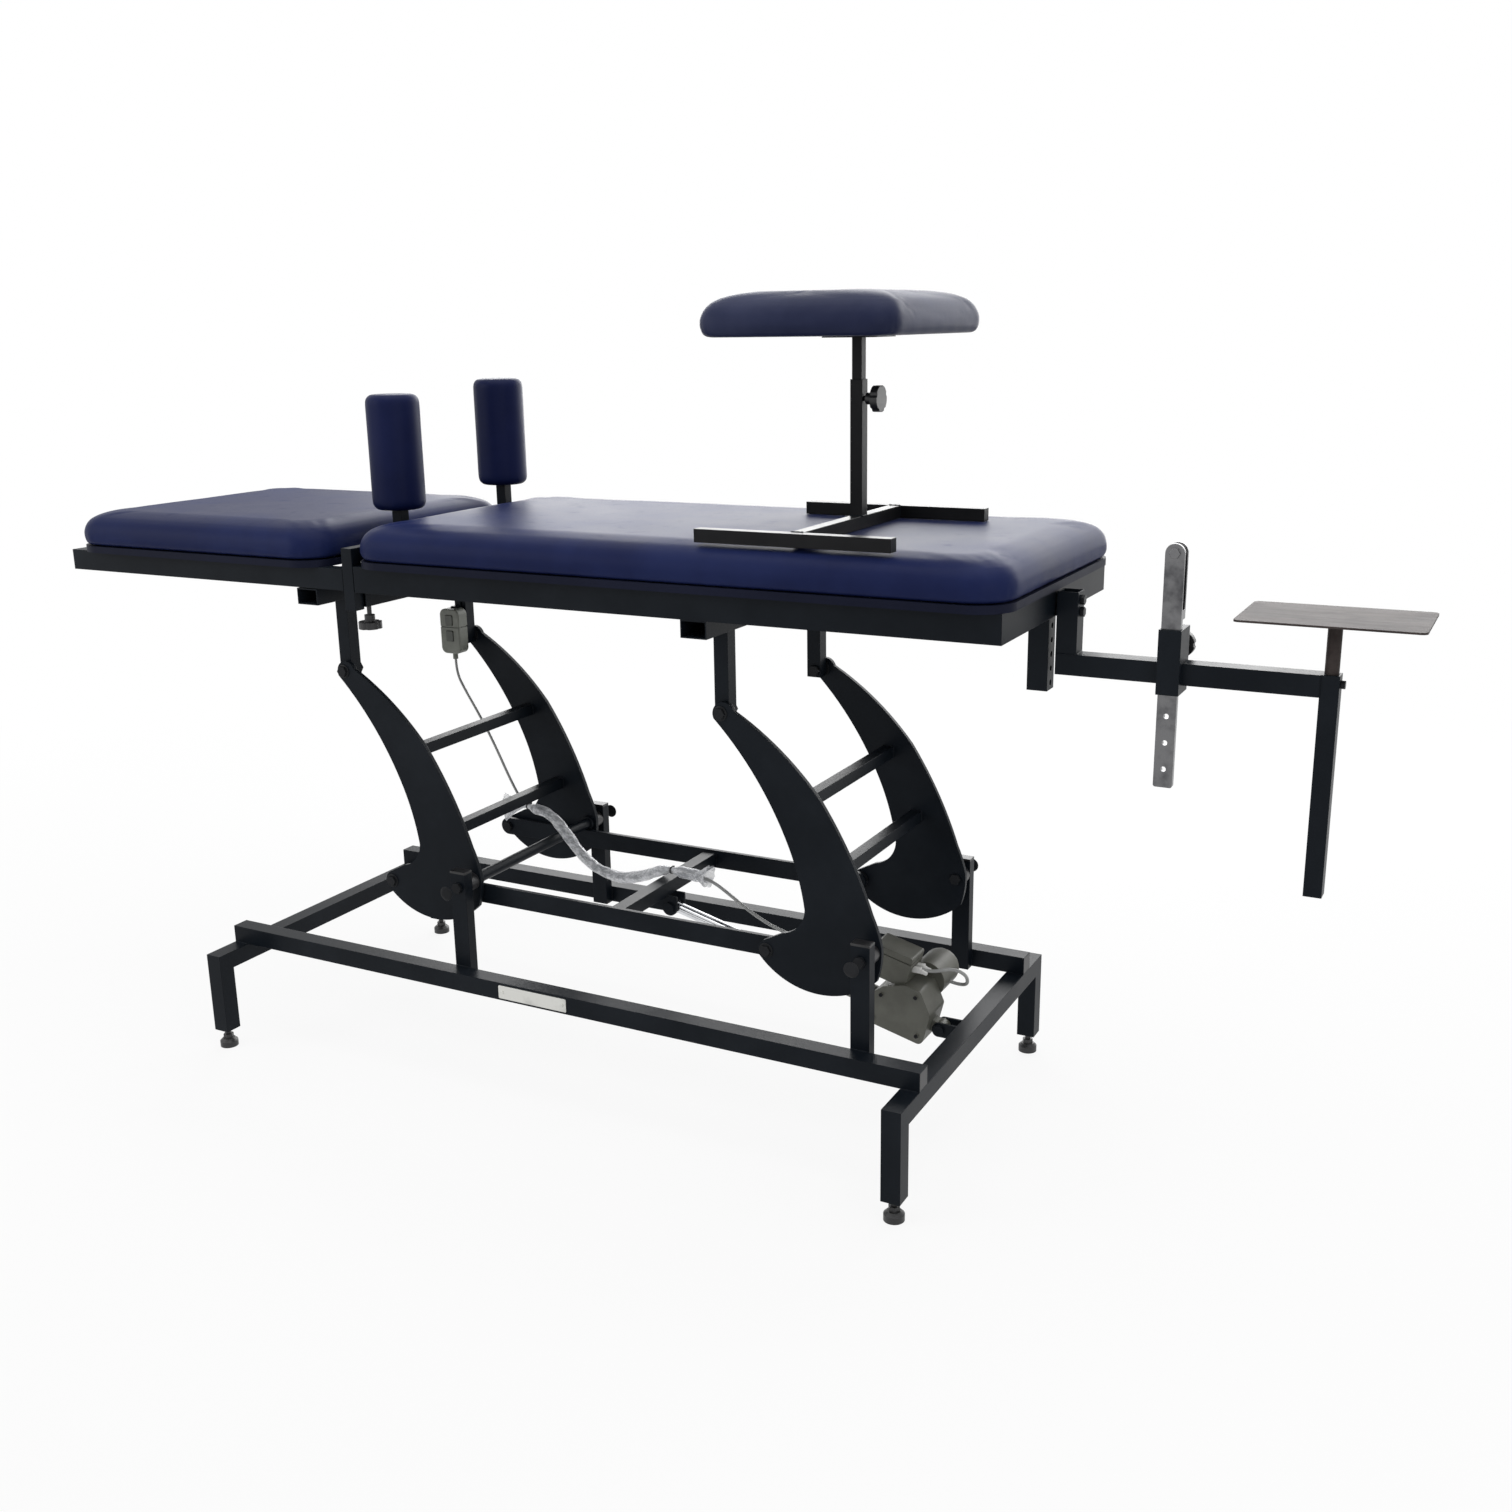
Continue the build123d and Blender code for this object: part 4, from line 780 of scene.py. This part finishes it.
# Seams of the drawing in mm: a run is (start, end), and a loop is (middle, two half sides).
# Both sides have those in pairs, whose y counts from the body's middle line
seams = {
    "floor_base": {"pairs": [
        *(((x + 1, y, 187.5), (x + 31, y, 187.5)) for x in (0, 1368) for y in (230, 262)),
        *(((x + dx, 230, 189), (x + dx, 230, 219)) for x in (520, 1287) for dx in (-16, 16)),
        *(((x - 16, 230, 219.5), (x + 16, 230, 219.5)) for x in (520, 1287))]},
    "couch_top": {
        "pairs": [((260, 166.5, 853), (12.5, 0, 0), (0, 12.5, 0)),
                  ((1027, 166.5, 853), (12.5, 0, 0), (0, 12.5, 0)),
                  ((1543, 16, 826), (1512, 16, 826)), ((1891, 13, 795), (1891, 13, 825))],
        "single": [((1543, -15, 826), (1543, 15, 826)),
                   ((1484, 0, 881), (15.5, 0, 0), (0, 15.5, 0))]},
    "left_arms": {"pairs": [((391, 180.8, 584.16), (10, 0, 0), (0, 0, 10)),
                            ((455.5, 180.8, 441.76), (10, 0, 0), (0, 0, 10))]},
    "right_arms": {"pairs": [((1158, 180.8, 584.16), (10, 0, 0), (0, 0, 10)),
                             ((1212.18, 180.8, 473.8), (10, 0, 0), (0, 0, 10))]},
    "tie_frame": {"pairs": [((804, 164.8, 339), (12.5, 0, 0), (0, 0, 12.5))]},
    "leg_stool": {
        "middle": -50.5,
        "pairs": [((1177, 181.5, 1018.8), (1197, 181.5, 1018.8)),
                  ((1177, 181.5, 1000), (1177, 181.5, 1018.5)),
                  ((1197, 181.5, 1000), (1197, 181.5, 1018.5))],
        "single": [((1187, -14, 1018.8), (10, 0, 0), (0, 10, 0))]},
}


def bead(form, start, end):
    count = max(3, round((end - start).length / weld["gap"]))
    points = [start.lerp(end, k / count) for k in range(count + 1)]
    seed = start * weld["seed"]

    def lump(share, turn):
        scallop = weld["scallop"] * abs(sin(share * count * weld["scallopRate"]))
        rough = noise.noise(seed + Vector((share * count, cos(turn), sin(turn))))
        return weld["reach"] * (weld["low"] + scallop + weld["lump"] * rough)

    sweep(form, points, lump, weld["sides"])


def seamLine(seam, side=1, middle=0):
    (x, y, z), *rest = seam
    start = drawn(x, middle + side * y, z)
    if len(rest) == 1:
        x, y, z = rest[0]
        return [start, drawn(x, middle + side * y, z)]
    a, b = (Vector(half) / 1000 for half in rest)
    return [start + a + b, start - a + b, start - a - b, start + a - b, start + a + b]


def addWelds():
    for body, places in seams.items():
        lines = [seamLine(seam, side, places.get("middle", 0))
                 for side in (-1, 1) for seam in places["pairs"]]
        lines += [seamLine(seam) for seam in places.get("single", ())]
        form = bmesh.new()
        for line in lines:
            for start, end in zip(line, line[1:]):
                bead(form, start, end)
        addPiece("welds_" + body, form, "black_steel", body)
    print("stage: welds", len(seams))


# The actuator's small parts. The drawing in mm counts along from its rear pivot, to the
# side, and above, and then tilts to meet the clevis
actuator = {"pivot": (1335, 172), "clevis": (820, 305)}
plug = {"along": (-72, -60), "above": (78, 90), "sides": (-13, 4), "wide": 10, "edge": 0.0012,
        "outline": ((0.0040, 0), (0.0042, 0.004), (0.0034, 0.005), (0.0034, 0.012),
                    (0.0020, 0.013))}
endDisc = {"place": (-56, 110, 52), "sides": 40,
           "outline": ((0.0240, 0), (0.0246, 0.0006), (0.0246, 0.0016), (0.0235, 0.0022),
                       (0.0100, 0.0022), (0.0095, 0.0012))}
screw = {"side": -36, "sides": 20,
         "places": ((-106.1, 27.9), (-47.8, 49.6), (-28.72, -16.5), (-109.28, -18.0)),
         "outline": ((0.0030, -0.0002), (0.0034, 0.0004), (0.0034, 0.0016), (0.0018, 0.0020),
                     (0.0016, 0.0012))}         # a head with a ring round its recess


def onActuator(along, side, above):
    (px, pz), (cx, cz) = actuator["pivot"], actuator["clevis"]
    tilt = atan2(cz - pz, px - cx)
    return drawn(px + along * cos(tilt) + above * sin(tilt), side,
                 pz - along * sin(tilt) + above * cos(tilt))


def addActuatorParts():
    form = bmesh.new()
    for side in plug["sides"]:                  # in the end of the control box
        ends = [onActuator(along, side + more, above)
                for along, more, above in zip(plug["along"], (0, plug["wide"]), plug["above"])]
        brick(form, [min(pair) for pair in zip(*ends)], [max(pair) for pair in zip(*ends)],
              plug["edge"])
        middle = onActuator(plug["along"][1], side + plug["wide"] / 2, sum(plug["above"]) / 2)
        turned(form, plug["outline"], middle, onActuator(0, 0, 0) - onActuator(-1, 0, 0))
    addPiece("controlPlugs", form, "white_nylon", "actuator")
    form = bmesh.new()
    turned(form, endDisc["outline"], onActuator(*endDisc["place"]), (0, 1, 0), endDisc["sides"])
    addPiece("motorEndDisc", form, "black_plastic", "actuator")
    form = bmesh.new()
    for along, above in screw["places"]:
        turned(form, screw["outline"], onActuator(along, screw["side"], above), (0, -1, 0),
               screw["sides"])
    addPiece("gearboxScrews", form, "black_bolt", "actuator")
    print("stage: actuator parts")


# Thin black washers under the heads of the pivot and arm bolts, on both sides
washer = {"outline": ((0.0068, 0), (0.0122, 0), (0.0125, 0.0003), (0.0125, 0.0009),
                      (0.0122, 0.0012), (0.0068, 0.0012)),
          "pieces": (("postWashers", "floor_base", 262, ((520, 367), (1287, 367))),
                     ("leftWashers", "left_arms", 189, ((262, 723), (337, 339))),
                     ("rightWashers", "right_arms", 189, ((1029, 723), (1104, 339))))}


def addWashers():
    for name, body, out, places in washer["pieces"]:
        form = bmesh.new()
        for x, z in places:
            for side in (-1, 1):
                turned(form, washer["outline"], drawn(x, side * out, z), (0, side, 0))
        addPiece(name, form, "black_bolt", body)
    print("stage: washers", len(washer["pieces"]))


# Floor and world: white to the camera and in reflections, plain light otherwise. The
# floor's white share grows away from the couch, so that it keeps the couch's shadow
ground = {"colour": (0.80, 0.80, 0.80), "rough": 0.9, "half": 30, "nearWhite": 0.88,
          "fade": (1.2, 3.6), "worldLight": 0.42}


def seenDirectly(paint):
    # 1 for rays of the camera, of reflections and through clear things, and 0 for others
    camera, glossy, through = (paint.node("ShaderNodeLightPath", out="Is " + kind + " Ray")
                               for kind in ("Camera", "Glossy", "Transmission"))
    return paint.node("ShaderNodeMath", {"operation": "ADD", "use_clamp": True},
                      {0: camera + glossy, 1: through})


def addFloor():
    form = bmesh.new()
    corners = [(sx * ground["half"], sy * ground["half"], 0)
               for sx, sy in ((-1, -1), (1, -1), (1, 1), (-1, 1))]
    form.faces.new(ringOf(form, corners))
    data = bpy.data.meshes.new("floor")
    form.to_mesh(data)
    form.free()
    floor = bpy.data.objects.new("floor", data)
    scene.collection.objects.link(floor)
    paint = newPaint("floorWhite", {"Base Color": ground["colour"], "Roughness": ground["rough"],
                                    "Specular IOR Level": 0.0})
    away = paint.node("ShaderNodeVectorMath", {"operation": "LENGTH"}, {0: paint.place}, out=1)
    near = ground["nearWhite"]
    share = near + (1 - near) * paint.step(away, *ground["fade"])
    white = paint.node("ShaderNodeEmission", None, {"Color": (1, 1, 1), "Strength": 1.0})
    lit = Sock(paint, paint.shader.outputs[0])
    mixed = paint.node("ShaderNodeMixShader", None,
                       {0: seenDirectly(paint) * share, 1: lit, 2: white})
    paint.put(paint.tree.nodes["Material Output"].inputs["Surface"], mixed)
    data.materials.append(paint.owner)
    print("stage: floor")


def addWorld():
    scene.world = bpy.data.worlds.new("studio")
    paint = Paint(scene.world, {"Color": (1, 1, 1)}, "Background")
    light = ground["worldLight"]
    paint.feed({"Strength": light + (1 - light) * seenDirectly(paint)})
    print("stage: world")


scene.view_settings.view_transform = "Standard"
addCamera()
addCords()
addLamps()
addFloor()
addWorld()
wearFinishes()
addUpholstery()
addWelds()
addActuatorParts()
addWashers()
